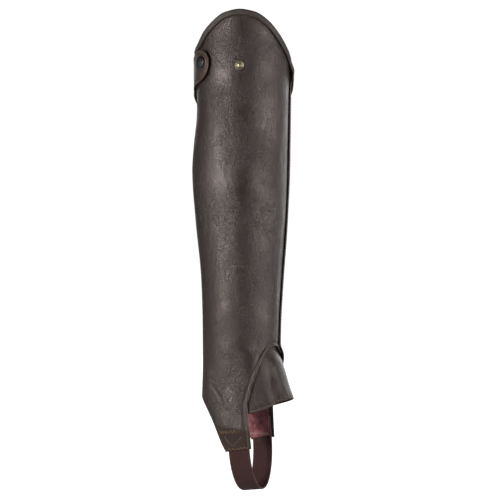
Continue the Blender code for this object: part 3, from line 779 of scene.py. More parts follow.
def leather(name, deep, warm, worn, gloss, veins):
    """Smooth pull-up leather: pebble grain, a net of soft veins, painted shade in its creases."""
    look = Look(name)
    broad = look.noise(24.0, 3.0, place=look.stretched(1, 1, 0.55))
    mottle = look.noise(150.0, 5.0, 0.62)
    colour = look.mix(look.span(broad, 0.36, 0.64), deep, warm)
    colour = look.mix(look.span(mottle, 0.42, 0.72, 0.0, 0.45), colour, scaled(warm, 1.5))
    net = look.cells(46.0, look.warped(look.stretched(1, 1, 0.52), 0.014, 42.0))
    fine_net = look.cells(135.0, look.warped(look.stretched(1, 1, 0.55), 0.007, 90.0))
    broken = look.span(look.noise(34.0, 2.0), 0.44, 0.60)
    vein = look.times(look.span(net, 0.0, 0.07, 1.0, 0.0), broken)
    sparse = look.span(look.noise(60.0, 2.0), 0.47, 0.66)
    hair = look.times(look.span(fine_net, 0.0, 0.08, 1.0, 0.0), sparse)
    colour = look.mix(look.times(vein, 0.45 * veins), colour, scaled(deep, 0.4))
    colour = look.mix(look.times(hair, 0.25 * veins), colour, scaled(deep, 0.5))
    fine_cells = look.cells(980.0, look.warped(look.place, 0.0005, 700.0))
    pebble = look.span(fine_cells, 0.0, 0.22)
    coarse_cells = look.cells(560.0, look.warped(look.place, 0.0012, 380.0))
    coarse = look.span(coarse_cells, 0.0, 0.26)
    strong = look.span(look.noise(26.0, 2.0), 0.38, 0.62, 0.45, 1.0)
    pits = look.times(look.math("SUBTRACT", 1.0, coarse), strong)
    colour = look.mix(look.times(pits, 0.65), colour, scaled(deep, 0.45))
    # Painted shade in the creases, sewn grooves, under the binding and along the dark edges
    colour = look.mix(look.times(look.mark("painted_shade_and_grime"), 0.7), colour, scaled(deep, 0.3))
    # Lighter wear along the edges, and painted highlights on the swells and on the inner seam edge
    edge_wear_and_painted_highlight = look.times(look.mark("edge"), look.span(look.noise(240.0, 4.0), 0.34, 0.60))
    colour = look.mix(edge_wear_and_painted_highlight, colour, worn)
    colour = look.mix(look.times(look.mark("patch"), 0.9), colour, PATCH_COLOUR)
    normal = look.bump(look.times(pebble, strong), 0.00010)
    normal = look.bump(look.times(coarse, strong), 0.00014, normal)
    normal = look.bump(look.noise(330.0, 3.0, 0.6), 0.00008, normal)
    normal = look.bump(vein, -0.00030 * veins, normal)
    normal = look.bump(hair, -0.00016 * veins, normal)
    swells = look.noise(60.0, 3.0, place=look.stretched(1, 1, 0.7))
    normal = look.bump(swells, 0.0008, normal)
    shine = look.span(look.noise(80.0, 4.0), 0.3, 0.7, gloss - 0.05, gloss + 0.09)
    shine = look.math("ADD", shine, look.times(look.mark("patch"), 0.55))
    look.set(Base_Color=colour, Roughness=shine, Normal=normal)
    look.set(Specular_IOR_Level=0.62, Specular_Tint=(1.0, 0.87, 0.82, 1.0))
    return look.material


def flesh(name, dark, light, nap_tint):
    """The suede side of leather, or a suede lining: a soft brushed nap."""
    look = Look(name)
    nap = look.noise(900.0, 4.0, 0.65)
    brushed = look.noise(150.0, 4.0, 0.62, look.stretched(1, 1, 0.6), 0.8)
    colour = look.mix(look.span(brushed, 0.40, 0.60), dark, light)
    colour = look.mix(look.span(nap, 0.42, 0.68, 0.0, 0.55), colour, scaled(light, 1.5))
    # Painted shade in the creases and along the lining's rim
    colour = look.mix(look.times(look.mark("painted_shade_and_grime"), 0.6), colour, scaled(dark, 0.4))
    normal = look.bump(nap, 0.0004)
    normal = look.bump(look.noise(160.0, 3.0), 0.0006, normal)
    look.set(Base_Color=colour, Roughness=0.95, Normal=normal, Specular_IOR_Level=0.15)
    look.set(Sheen_Weight=0.3, Sheen_Roughness=0.5, Sheen_Tint=(*nap_tint, 1.0))
    return look.material


def woven(name, dark, light, ribs_per_m, weft_per_m, depth):
    """Woven tape or elastic: ribs along it, crossed by weft, read from its own grid."""
    look = Look(name)
    grid = look.add("ShaderNodeUVMap", None, uv_map="weave").outputs[0]
    parts = look.add("ShaderNodeSeparateXYZ", {0: grid})
    rib = look.math("SINE", look.times(parts.outputs[0], ribs_per_m * math.tau))
    weft = look.math("SINE", look.times(parts.outputs[1], weft_per_m * math.tau))
    thread = look.math("ADD", look.times(rib, 0.6), look.times(weft, 0.4))
    fuzz = look.noise(1300.0, 3.0, 0.6)
    # Painted highlights on the crests of the threads, painted shade between them
    lit = look.span(look.math("ADD", look.times(thread, 0.5), fuzz), -0.2, 1.3)
    colour = look.mix(lit, dark, light)
    colour = look.mix(look.span(look.noise(60.0, 3.0), 0.4, 0.7, 0.0, 0.3), colour, dark)
    colour = look.mix(look.mark("edge"), colour, scaled(light, 1.8))
    normal = look.bump(thread, depth)
    normal = look.bump(fuzz, 0.00012, normal)
    look.set(Base_Color=colour, Roughness=0.86, Normal=normal, Specular_IOR_Level=0.2)
    look.set(Sheen_Weight=0.06, Sheen_Roughness=0.5)
    return look.material


def metal(name, colour, dirt, gloss):
    """Plated metal with brushed wear, and dirt and painted shade in its hollows."""
    look = Look(name)
    worn = look.noise(700.0, 5.0, 0.6)
    tone = look.mix(look.span(worn, 0.4, 0.62), dirt, colour)
    # Dirt and painted shade in the hollows and at the foot of a turned piece
    tone = look.mix(look.mark("painted_shade_and_grime"), tone, scaled(dirt, 0.35))
    scratch = look.noise(1600.0, 2.0, 0.5, look.stretched(1, 1, 0.15))
    shine = look.span(worn, 0.35, 0.7, gloss + 0.12, gloss - 0.06)
    normal = look.bump(scratch, 0.00003)
    look.set(Base_Color=tone, Roughness=shine, Metallic=1.0, Normal=normal)
    return look.material


def thread_look(name, colour, tip):
    """Waxed sewing thread with a fine twist."""
    look = Look(name)
    twist = look.noise(2600.0, 2.0, 0.5)
    tone = look.mix(look.span(twist, 0.35, 0.65), colour, tip)
    normal = look.bump(twist, 0.00005)
    look.set(Base_Color=tone, Roughness=0.6, Normal=normal, Specular_IOR_Level=0.3)
    return look.material


brown = leather("panel_leather", deep=(0.0135, 0.0078, 0.0070), warm=(0.0208, 0.0123, 0.0109),
                worn=(0.105, 0.076, 0.063), gloss=0.33, veins=0.4)
tab_brown = leather("tab_leather", deep=(0.0190, 0.0115, 0.0090), warm=(0.0300, 0.0185, 0.0140),
                    worn=(0.105, 0.057, 0.031), gloss=0.40, veins=0.5)
rolled = leather("binding_leather", deep=(0.0190, 0.0135, 0.0100), warm=(0.0280, 0.0205, 0.0150),
                 worn=(0.12, 0.085, 0.055), gloss=0.50, veins=0.3)
flesh_side = flesh("leather_flesh_side", dark=(0.036, 0.024, 0.020), light=(0.062, 0.043, 0.036),
                   nap_tint=(0.5, 0.42, 0.38))
suede = flesh("burgundy_suede", dark=(0.100, 0.028, 0.032), light=(0.280, 0.105, 0.110),
              nap_tint=(0.75, 0.55, 0.52))
elastic = woven("brown_elastic", dark=(0.031, 0.0128, 0.0116), light=(0.060, 0.027, 0.0245),
                ribs_per_m=560.0, weft_per_m=480.0, depth=0.00012)
zip_weave = woven("zip_tape_cloth", dark=(0.008, 0.007, 0.007), light=(0.026, 0.022, 0.021),
                  ribs_per_m=700.0, weft_per_m=1100.0, depth=0.0001)
gunmetal = metal("dark_metal", colour=(0.105, 0.100, 0.100), dirt=(0.03, 0.03, 0.034), gloss=0.34)
teeth_metal = metal("zip_teeth_metal", colour=(0.32, 0.28, 0.22), dirt=(0.10, 0.085, 0.07),
                    gloss=0.32)
aged_brass = metal("aged_brass", colour=(0.52, 0.455, 0.33), dirt=(0.22, 0.175, 0.105), gloss=0.42)
orange_thread = thread_look("orange_thread", colour=(0.115, 0.060, 0.032),
                            tip=(0.200, 0.115, 0.066))
brown_thread = thread_look("brown_thread", colour=(0.040, 0.027, 0.020), tip=(0.075, 0.052, 0.038))
pale_thread = thread_look("pale_thread", colour=(0.110, 0.082, 0.064), tip=(0.190, 0.150, 0.120))
plum_thread = thread_look("plum_thread", colour=(0.095, 0.040, 0.042), tip=(0.150, 0.070, 0.072))
pink_thread = thread_look("pink_thread", colour=(0.30, 0.21, 0.20), tip=(0.46, 0.36, 0.35))


def leather_top(angle):
    return rim_height(angle) - BINDING_CROWN - GAP


def rim_edge(start, stop):
    count = round(abs(stop - start))
    return [(angle, leather_top(angle)) for angle in np.linspace(start, stop, count + 1)]


def arch_edge(start, stop):
    angles = np.linspace(start, stop, EDGE_POINTS)
    return [(angle, arch_height(abs(angle - ARCH_MIDDLE))) for angle in angles]


def tongue_edges(end_height, side):
    heights = np.linspace(ARCH[-1][1], end_height + TONGUE_END_RISE, EDGE_POINTS)
    front = [(side * side_angle(tongue_front(height), height), height) for height in heights]
    back_angle = side_angle(TONGUE_BACK_X, end_height)
    end = [front[-1], (side * back_angle, end_height)]
    drop = end_height - BACK_HEM[0][1]
    hem = []
    for angle in np.linspace(back_angle, BACK_HEM[-1][0], EDGE_POINTS):
        fade = 1 - ease((angle - back_angle) / HEM_FADE)
        hem.append((side * angle, back_hem(angle) + drop * fade))
    hem[0] = end[-1]
    return front, end, hem


def cut_hem(hem, last_angle):
    kept = [point for point in hem if abs(point[0]) < abs(last_angle)]
    return kept + [(last_angle, back_hem(abs(last_angle)))]


def zip_edge(height, width=ZIP_OPENING / 2):
    return ZIP_ANGLE + degrees_for(width, ZIP_ANGLE, height)


def inner_out(angle):
    past_seam = ease((FRONT_SEAM_ANGLE - angle - 10) / FRONT_SEAM_EASE)
    near_zip = ease((ZIP_SIDE_START - angle) / ZIP_SIDE_EASE)
    return OVER * (1 - past_seam) + UNDER * near_zip


def gusset_out(angle, height):
    down = ease((GUSSET_FOLD_TOP - height) / GUSSET_FOLD_LENGTH)
    fold = GUSSET_FOLD_DEPTH * hump(angle - GUSSET_FOLD_ANGLE, GUSSET_FOLD_SPREAD)
    ridge = GUSSET_RIDGE_HEIGHT * hump(angle - GUSSET_RIDGE_ANGLE, GUSSET_FOLD_SPREAD)
    sunk = GUSSET_SINK * ease((height - GUSSET_SINK_START) / GUSSET_SINK_RISE)
    return UNDER - GAP - sunk + down * (ridge - fold)


def strip_out(angle):
    return UNDER - GAP * ease((STRIP_SINK_ANGLE - angle) / STRIP_SINK_EASE)


def outer_edges():
    seam = FRONT_SEAM_ANGLE - LAP
    front, end, hem = tongue_edges(OUTER_TONGUE_END, 1)
    arch = arch_edge(seam, front[0][0])
    arch[-1] = front[0]
    hem = cut_hem(hem, back_edge(BACK_EDGE[-1][0]))
    heights = np.linspace(hem[-1][1], BACK_EDGE[0][0], EDGE_POINTS)
    back = [(back_edge(height), height) for height in heights]
    top = rim_edge(back[-1][0], seam)
    back[-1] = top[0]
    back[0] = hem[-1]
    return [("arch", arch), ("front", front), ("end", end), ("hem", hem), ("back", back),
            ("top", top), ("seam", [top[-1], arch[0]])]


def inner_edges():
    last = zip_edge(ZIP_BOTTOM) - 360
    front, end, hem = tongue_edges(INNER_TONGUE_END, -1)
    arch = arch_edge(FRONT_SEAM_ANGLE, front[0][0])
    arch[-1] = front[0]
    hem = cut_hem(hem, last)
    heights = np.linspace(hem[-1][1], leather_top(last), EDGE_POINTS)
    back = [(zip_edge(height) - 360, height) for height in heights]
    top = rim_edge(back[-1][0], FRONT_SEAM_ANGLE)
    hem[-1] = back[0]
    back[-1] = top[0]
    return [("arch", arch), ("front", front), ("end", end), ("hem", hem), ("back", back),
            ("top", top), ("seam", [top[-1], arch[0]])]


def strip_edges():
    heights = np.linspace(STRIP_BOTTOM, STRIP_TOP, EDGE_POINTS)
    zip_side = [(2 * ZIP_ANGLE - zip_edge(height), height) for height in heights]
    panel_side = []
    for height in reversed(heights):
        angle = back_edge(height)
        panel_side.append((angle - degrees_for(LAP, angle, height), height))
    return [("zip", zip_side), ("top", [zip_side[-1], panel_side[0]]),
            ("panel", panel_side), ("end", [panel_side[-1], zip_side[0]])]


def gusset_edges():
    angles = np.linspace(-GUSSET_EDGE_ANGLE, GUSSET_EDGE_ANGLE, EDGE_POINTS)
    hem = [(angle, gusset_hem(angle)) for angle in angles]
    arch = []
    for share in np.linspace(-1, 1, EDGE_POINTS):
        turn = share * ARCH[-1][0]
        rise = LAP * math.cos(share * math.radians(GUSSET_EDGE_ANGLE))
        arch.append((ARCH_MIDDLE + turn + share * GUSSET_TUCK, arch_height(abs(turn)) + rise))
    return [("hem", hem), ("right", [hem[-1], arch[-1]]), ("arch", arch[::-1]),
            ("left", [arch[0], hem[0]])]


def lining_edges():
    front, back = [], []
    front_end = INNER_TONGUE_END + TONGUE_END_RISE + LINING_MARGIN / 2
    for height in np.linspace(LINING_TOP, front_end, EDGE_POINTS):
        front.append((-side_angle(tongue_front(height) - LINING_MARGIN, height), height))
    for height in np.linspace(INNER_TONGUE_END + LINING_MARGIN / 2, LINING_TOP, EDGE_POINTS):
        back.append((-side_angle(lining_back(height), height), height))
    return [("front", front), ("end", [front[-1], back[0]]), ("back", back),
            ("top", [back[-1], front[0]])]


def tab_edges():
    """The tab's outline, rounded through its points."""
    places = np.array(TAB_OUTLINE[::-1], dtype=float)
    smooth = []
    count = len(places)
    for i in range(count - 1):
        before = places[max(i - 1, 0)]
        start, stop = places[i], places[i + 1]
        after = places[min(i + 2, count - 1)]
        for t in np.linspace(0, 1, 8, endpoint=False):
            pull = (before * -1 + start * 3 - stop * 3 + after) * t ** 3
            bend = (before * 2 - start * 5 + stop * 4 - after) * t ** 2
            smooth.append(0.5 * (start * 2 + (stop - before) * t + bend + pull))
    smooth.append(places[-1])
    return [("round", smooth), ("sewn", [smooth[-1], smooth[0]])]


def piece(made, *nodes, body="chap", slot=None):
    """Tie a piece to its body and hide the nodes it stands for. The slot is not used."""
    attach(made, body)
    if nodes:
        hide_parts(*nodes)
    return made


# Sewn grooves: distance in from the edge, depth, height of the band outside
ARCH_GROOVE = (3.4, 0.65, 0.3)
BACK_GROOVE = (2.8, 0.25, 0.08)
SEAM_GROOVE = (2.6, 0.3, 0.05)
HEM_GROOVE = (2.4, 0.3, 0.12)
ZIP_GROOVE = (2.8, 0.25, 0.05)
TAB_GROOVE = (2.3, 0.32, 0.22)

# Press of the binding's lower edge: distance down, half width, depth
BINDING_PRESS = (5.4, 1.0, 0.4)

# Dark patch at the end of a tongue: its height, its slope about an angle, its edge and its share
PATCH_RISE = 25.5
PATCH_SLOPE = 0.10
PATCH_MIDDLE = 66
PATCH_EASE = 1.5
PATCH_SHARE = 0.8


def binding_press(cut):
    """How far each point lies under the lower edge of the binding."""
    return bell(cut.away["top"] - BINDING_PRESS[0], BINDING_PRESS[1])


def tongue_patch(on_tongue, level):
    """The dark patch below a level, on the side of the tongue."""
    return np.where(on_tongue, ease(-level / PATCH_EASE), 0.0) * PATCH_SHARE


def panel_marks(cut, worn_and_painted_highlight_edges, dark, shade):
    """Lighter wear along the worn edges, painted highlight on a seam edge, painted shade in creases
    and dark edges.
    """
    wear_and_painted_highlight = np.zeros(len(cut.flat))
    for name in worn_and_painted_highlight_edges:
        wear_and_painted_highlight = np.maximum(wear_and_painted_highlight, bell(cut.away[name], 0.7))
    for name in dark:
        shade = np.maximum(shade, 0.8 * bell(cut.away[name], 1.2))
    return {"painted_shade_and_grime": np.clip(shade, 0, 1), "edge": np.clip(wear_and_painted_highlight, 0, 1),
            "patch": np.zeros(len(cut.flat))}


def edge_relief(cut, names, at, depth, band):
    """A sewn groove so far inside some edges, with a raised band outside it."""
    away = np.min([cut.away[name] for name in names], axis=0)
    groove = bell(away - at, 0.75)
    raised = ease((at - away) / 1.2)
    return band * raised - depth * groove, groove


def laid_flat(spots, place_of):
    """Dents or rubbed places, laid on the flat piece."""
    return [(place_of(*place), across, along, depth) for place, across, along, depth in spots]


def add_painted_highlights(marks, cut, spots):
    """Add painted highlights to the wear along the edges."""
    marks["edge"] = np.maximum(marks["edge"], painted_highlight_places(cut.flat, spots))


def build_outer_panel():
    cut = Cut(outer_edges())
    creases = from_pixels(OUTER_CREASES) + from_angles(HIDDEN_OUTER_CREASES)
    relief, shade = crease_relief(cut.flat, creases)
    relief += dent_relief(cut.flat, laid_flat(OUTER_DENTS, seen)) + sway(cut.flat, 0.4)
    calm = ease(cut.rim / 9.0)
    seam, sewn = edge_relief(cut, ("arch", "front"), *ARCH_GROOVE)
    back, back_sewn = edge_relief(cut, ("back", "hem"), *BACK_GROOVE)
    under_binding = binding_press(cut)
    relief = relief * calm + seam + back - BINDING_PRESS[2] * under_binding
    relief = np.where(cut.away["seam"] < LAP + 3, np.minimum(relief, 0.0), relief)
    # Painted shade under the binding's edge and in the sewn grooves
    shade = np.maximum(shade, 0.9 * under_binding + 0.95 * sewn + 0.3 * back_sewn)
    marks = panel_marks(cut, ("arch", "front"), ("end", "hem", "back"), shade)
    add_painted_highlights(marks, cut, laid_flat(OUTER_PAINTED_HIGHLIGHTS, seen))
    top = OUTER_TONGUE_END + PATCH_RISE + PATCH_SLOPE * (cut.angle - PATCH_MIDDLE)
    marks["patch"] = tongue_patch(cut.angle > 0, cut.height - top)
    made = shell("outer_panel_leather", cut, relief, LEATHER, (brown, flesh_side), marks)
    return piece(made, "outer_panel", slot="brown_leather"), cut


def build_inner_panel():
    cut = Cut(inner_edges())
    relief, shade = crease_relief(cut.flat, from_angles(INNER_CREASES))
    relief += dent_relief(cut.flat, laid_flat(INNER_DENTS, flat)) + sway(cut.flat, 2.1)
    seam, sewn = edge_relief(cut, ("arch", "front"), *ARCH_GROOVE)
    lap, lap_sewn = edge_relief(cut, ("seam",), *SEAM_GROOVE)
    back, back_sewn = edge_relief(cut, ("back", "hem"), *BACK_GROOVE)
    under_binding = binding_press(cut)
    calm = ease(cut.rim / 10.0)
    relief = relief * calm + seam + lap + back - BINDING_PRESS[2] * under_binding
    # Painted shade in the sewn grooves, the lap and under the binding's edge
    lines = 0.95 * sewn + 0.4 * lap_sewn + 0.3 * back_sewn
    shade = np.maximum(shade, 0.9 * under_binding + lines)
    # The seam edge is lightened as a painted highlight on the lapped edge's wall
    marks = panel_marks(cut, ("arch", "front", "seam"), ("end", "hem", "back"), shade)
    add_painted_highlights(marks, cut, laid_flat(INNER_PAINTED_HIGHLIGHTS, flat))
    top = INNER_TONGUE_END + PATCH_RISE
    marks["patch"] = tongue_patch(cut.angle < -60, cut.height - top)
    out = inner_out(cut.angle) + relief
    made = shell("inner_panel_leather", cut, out, LEATHER, (brown, flesh_side), marks)
    return piece(made, "inner_panel", slot="brown_leather"), cut


def build_gusset():
    cut = Cut(gusset_edges())
    relief, shade = crease_relief(cut.flat, from_pixels(GUSSET_CREASES))
    hem, sewn = edge_relief(cut, ("hem",), *HEM_GROOVE)
    out = gusset_out(cut.angle, cut.height) + np.minimum(relief, 0.1) + hem
    # Painted shade in the fold and in the hem's sewn groove
    fold = hump(cut.angle - GUSSET_FOLD_ANGLE, GUSSET_FOLD_SPREAD)
    fold *= ease((GUSSET_FOLD_TOP - cut.height) / 40)
    shade = np.maximum(shade, 0.35 * fold)
    shade = np.maximum(shade, 0.4 * sewn)
    marks = panel_marks(cut, ("hem",), (), shade)
    made = shell("instep_gusset_leather", cut, out, LEATHER, (brown, flesh_side), marks)
    return piece(made, "instep_gusset", slot="brown_leather"), cut


def build_strip():
    cut = Cut(strip_edges())
    groove, sewn = edge_relief(cut, ("zip",), *ZIP_GROOVE)
    # Painted shade in the sewn groove and along the edges
    marks = panel_marks(cut, (), ("zip", "end", "top"), 0.4 * sewn)
    out = strip_out(cut.angle) + groove
    made = shell("back_strip_leather", cut, out, LEATHER, (brown, flesh_side), marks)
    return piece(made, "back_strip", slot="brown_leather"), cut


def build_tab():
    cut = Cut(tab_edges(), grid=1.5, step=1.0, rings=(0.5, 1.0, 1.6, 2.2, 2.8, 3.4))
    rib, sewn = edge_relief(cut, ("round",), *TAB_GROOVE)
    snap = np.hypot(cut.flat[:, 0] - flat(SNAP_ANGLE, 0)[0], cut.height - SNAP_HEIGHT)
    pressed = 0.35 * bell(snap - 8.2, 1.6)
    relief = rib - pressed + 0.3 * sway(cut.flat, 5.0)
    out = tab_stand_off(cut.angle) + TAB_THICKNESS + relief
    # Painted shade in the sewn groove, and a ring of painted shadow round the snap cap
    marks = panel_marks(cut, ("round",), (), np.maximum(0.5 * sewn, 0.5 * bell(snap - 7.2, 1.0)))
    marks["edge"] = np.clip(marks["edge"] + 0.4 * bell(cut.away["round"] - 0.9, 1.1), 0, 1)
    made = shell("snap_tab_leather", cut, out, TAB_THICKNESS, (tab_brown, flesh_side), marks)
    return piece(made, "snap_tab", slot="brown_leather"), cut


def rim_faces(angle):
    over = inner_out(angle)
    past_lap = ease((FRONT_SEAM_ANGLE + BINDING_LAP - angle) / BINDING_EASE)
    under_lap = ease((FRONT_SEAM_ANGLE - LAP - BINDING_LAP - angle) / BINDING_EASE)
    return over * past_lap, over * under_lap - LEATHER


def loft(name, rings, slots):
    """A closed body through rings of points, all of one size."""
    size = rings.shape[1]
    faces = []
    for row in range(len(rings) - 1):
        low, high = row * size, (row + 1) * size
        for i in range(size):
            j = (i + 1) % size
            faces.append((low + i, low + j, high + j, high + i))
    faces.append(tuple(reversed(range(size))))
    faces.append(tuple(range((len(rings) - 1) * size, len(rings) * size)))
    made = new_object(name, rings.reshape(-1, 3), faces, slots)
    face_outward(made.data)
    return made


BINDING_ROUND = 13
BINDING_STATIONS = 420
BINDING_BULGE = 0.75
BINDING_LIP = 0.25


def build_binding():
    """The rolled strip over the top edge: a full round outside, flat against the leather inside."""
    angles = np.linspace(BINDING_START, BINDING_STOP, BINDING_STATIONS)
    rings = []
    marks = []
    for k, angle in enumerate(angles):
        outer_face, inner_face = rim_faces(angle)
        outer, inner = float(outer_face) + BINDING_GAP, float(inner_face) - BINDING_GAP
        edge = float(leather_top(angle))
        girth = 1 / float(degrees_for(1.0, angle, edge))
        uphill = float(rim_height(angle + 1) - rim_height(angle - 1)) / 2
        along = Vector((girth, uphill)).normalized()
        ripple = 0.10 * math.sin(k * 0.83) * math.sin(k * 0.19 + 1) + 0.06 * math.sin(k * 2.1)
        crown = BINDING_CROWN + GAP
        section = []
        for t in np.linspace(0, 1, BINDING_ROUND):
            middle = (outer + inner) / 2
            half = (outer - inner) / 2 + BINDING_SKIN
            if t < 0.5:
                drop = -BINDING_SKIRT + (crown + BINDING_SKIRT) * math.sin(t * math.pi) ** 0.9
                bulge = half + (BINDING_BULGE + ripple) * math.sin(t * math.pi * 1.6)
                bulge -= BINDING_LIP * (t < 0.05)
                out = middle + bulge * (1 - (2 * t) ** 5)
                section.append((out, drop))
            else:
                s = (t - 0.5) * 2
                drop = crown - (crown + BINDING_SKIRT) * (1 - math.cos(s * math.pi / 2)) ** 1.1
                bulge = half + BINDING_LIP * math.sin(s * math.pi)
                out = middle - bulge * (1 - (1 - s) ** 4)
                section.append((out, drop))
        section += [(inner, -BINDING_SKIRT), (inner, 2 * GAP)]
        section += [(outer, 2 * GAP), (outer, -BINDING_SKIRT)]
        out, rise = np.array(section).T
        rings.append(on_leg(angle - along.y * rise / girth, edge + along.x * rise, out))
        # Painted shade at the roll's tucked lower edge and on its flat inner faces
        marks += [0.9, 0.4, *[0.0] * (BINDING_ROUND - 3), 0.5, *[1.0] * 4]
    made = loft("top_binding_roll", np.array(rings), (rolled,))
    paint(made, "painted_shade_and_grime", marks)
    for name in ("edge", "patch"):
        paint(made, name, np.zeros(len(marks)))
    return piece(made, "top_binding", slot="edge_leather")


def strap_point(along, across):
    side = -1 if along < 0 else 1
    end = OUTER_TONGUE_END if side < 0 else INNER_TONGUE_END
    hem = end + TONGUE_END_RISE / 2
    tilt = math.radians(STRAP_TILT)
    reach = abs(along)
    if reach > STRAP_FREE:
        up = (reach - STRAP_FREE) / (1 - STRAP_FREE) * STRAP_SEWN
        ahead = STRAP_MIDDLE_X + across * math.cos(tilt) - up * math.sin(tilt)
        height = hem + across * math.sin(tilt) + up
        turn = math.radians(side_angle(ahead, height))
        return ahead, side * (leg_side(height) * math.sin(turn) + UNDER), height
    swing = math.pi / 2 * (1 - reach / STRAP_FREE)
    ahead = STRAP_MIDDLE_X + across * math.cos(tilt) + STRAP_FORWARD * math.sin(swing)
    edge = hem + across * math.sin(tilt)
    turn = math.radians(side_angle(STRAP_MIDDLE_X + across * math.cos(tilt), edge))
    width = (leg_side(edge) * math.sin(turn) + UNDER) * math.cos(swing)
    return ahead, side * width, edge - (hem - STRAP_BOTTOM) * math.sin(swing)


def add_weave(made, across, along):
    """Lay the weave's grid on a piece, in metres across and along it."""
    layer = made.data.uv_layers.new(name="weave")
    corner = np.zeros(len(made.data.loops), dtype=np.int32)
    made.data.loops.foreach_get("vertex_index", corner)
    values = np.column_stack((across, along))[corner]
    layer.data.foreach_set("uv", values.astype(np.float32).ravel())


STRAP_COLUMNS = 16
STRAP_ROWS = 170
STRAP_EDGE_DROP = 0.45
SELVEDGE_PLACE = 1.2
SELVEDGE_SPREAD = 0.9
SELVEDGE_RISE = 0.12


def build_strap():
    alongs = np.linspace(-1, 1, STRAP_ROWS + 1)
    acrosses = np.linspace(-STRAP_WIDTH / 2, STRAP_WIDTH / 2, STRAP_COLUMNS + 1)
    points = np.array([[strap_point(a, c) for c in acrosses] for a in alongs], dtype=float)
    down = np.gradient(points, axis=0)
    over = np.gradient(points, axis=1)
    normal = np.cross(over, down)
    normal /= np.linalg.norm(normal, axis=2, keepdims=True)
    if normal[STRAP_ROWS // 2, STRAP_COLUMNS // 2, 2] > 0:
        normal = -normal
    edge = np.abs(acrosses) / (STRAP_WIDTH / 2)
    thin = np.where(edge > 0.99, STRAP_EDGE_DROP, 0.0)[None, :, None]
    from_selvedge = np.abs(acrosses) - STRAP_WIDTH / 2 + SELVEDGE_PLACE
    selvedge = bell(from_selvedge, SELVEDGE_SPREAD)[None, :, None] * SELVEDGE_RISE
    outer = points + normal * (selvedge - thin)
    inner = points - normal * (ELASTIC - thin)
    rows, columns = STRAP_ROWS + 1, STRAP_COLUMNS + 1
    count = rows * columns
    faces = []
    for row in range(rows - 1):
        for column in range(columns - 1):
            a = row * columns + column
            b, c, d = a + columns, a + columns + 1, a + 1
            faces.append((a, b, c, d))
            faces.append((a + count, d + count, c + count, b + count))
    for row in range(rows - 1):
        a, b = row * columns, (row + 1) * columns
        faces.append((b, a, a + count, b + count))
        a, b = a + columns - 1, b + columns - 1
        faces.append((a, b, b + count, a + count))
    for column in range(columns - 1):
        faces.append((column, column + 1, column + 1 + count, column + count))
        a = (rows - 1) * columns + column
        faces.append((a + 1, a, a + count, a + 1 + count))
    vertices = np.vstack((outer.reshape(-1, 3), inner.reshape(-1, 3)))
    made = new_object("elastic_strap_weave", vertices, faces, (elastic,))
    face_outward(made.data)
    length = running_length(points[:, columns // 2])
    across = np.tile(np.tile(acrosses, rows), 2) * MM
    along = np.tile(np.repeat(length, columns), 2) * MM
    add_weave(made, across, along)
    paint(made, "edge", np.tile(np.tile(bell(edge - 1.0, 0.05) * 0.8, rows), 2))
    paint(made, "painted_shade_and_grime", np.zeros(2 * count))
    return piece(made, "elastic_strap", slot="brown_elastic")


def build_lining():
    cut = Cut(lining_edges(), grid=1.8, step=1.2, rings=(0.5, 1.2, 2.0))
    wave = 0.25 * np.sin(cut.flat[:, 0] * 0.5) * np.sin(cut.height * 0.31 + 1)
    out = UNDER - ELASTIC - 2 * GAP + wave * ease(cut.rim / 3) * 0.5
    # Painted shade along the lining's rim
    marks = {"painted_shade_and_grime": 0.4 * bell(cut.rim, 0.8)}
    made = shell("tongue_lining_suede", cut, out, SUEDE, (suede,), marks)
    return piece(made, "tongue_lining", slot="burgundy_suede")


def build_tapes():
    made_tapes = []
    heights = np.linspace(ZIP_BOTTOM, TAPE_TOP, EDGE_POINTS)
    clamped = CHAIN_WIDTH / 2 - TAPE_IN_TEETH
    tucked = ZIP_OPENING / 2 + TAPE_TUCK
    for node, side in (("zip_tape_outer", -1), ("zip_tape_inner", 1)):
        near = [(ZIP_ANGLE + side * degrees_for(clamped, ZIP_ANGLE, h), h) for h in heights]
        far = [(ZIP_ANGLE + side * degrees_for(tucked, ZIP_ANGLE, h), h) for h in heights]
        ring = [("teeth", near), ("top", [near[-1], far[-1]]), ("tuck", far[::-1]),
                ("end", [far[0], near[0]])]
        if side > 0:
            ring = [(name, edge[::-1]) for name, edge in reversed(ring)]
        cut = Cut(ring, grid=2.4, step=2.0, rings=(0.8, 1.8))
        marks = {"edge": np.zeros(len(cut.flat)), "painted_shade_and_grime": np.zeros(len(cut.flat))}
        out = np.full(len(cut.flat), -TAPE_DEPTH)
        made = shell(node + "_cloth", cut, out, TAPE, (zip_weave,), marks)
        add_weave(made, np.tile(cut.flat[:, 0], 2) * MM, np.tile(cut.height, 2) * MM)
        made_tapes.append(piece(made, node, slot="zip_cloth"))
    return made_tapes


TOOTH_BEVEL = 0.16
TOOTH_SHARE = 0.62
TOOTH_MESH = 0.5


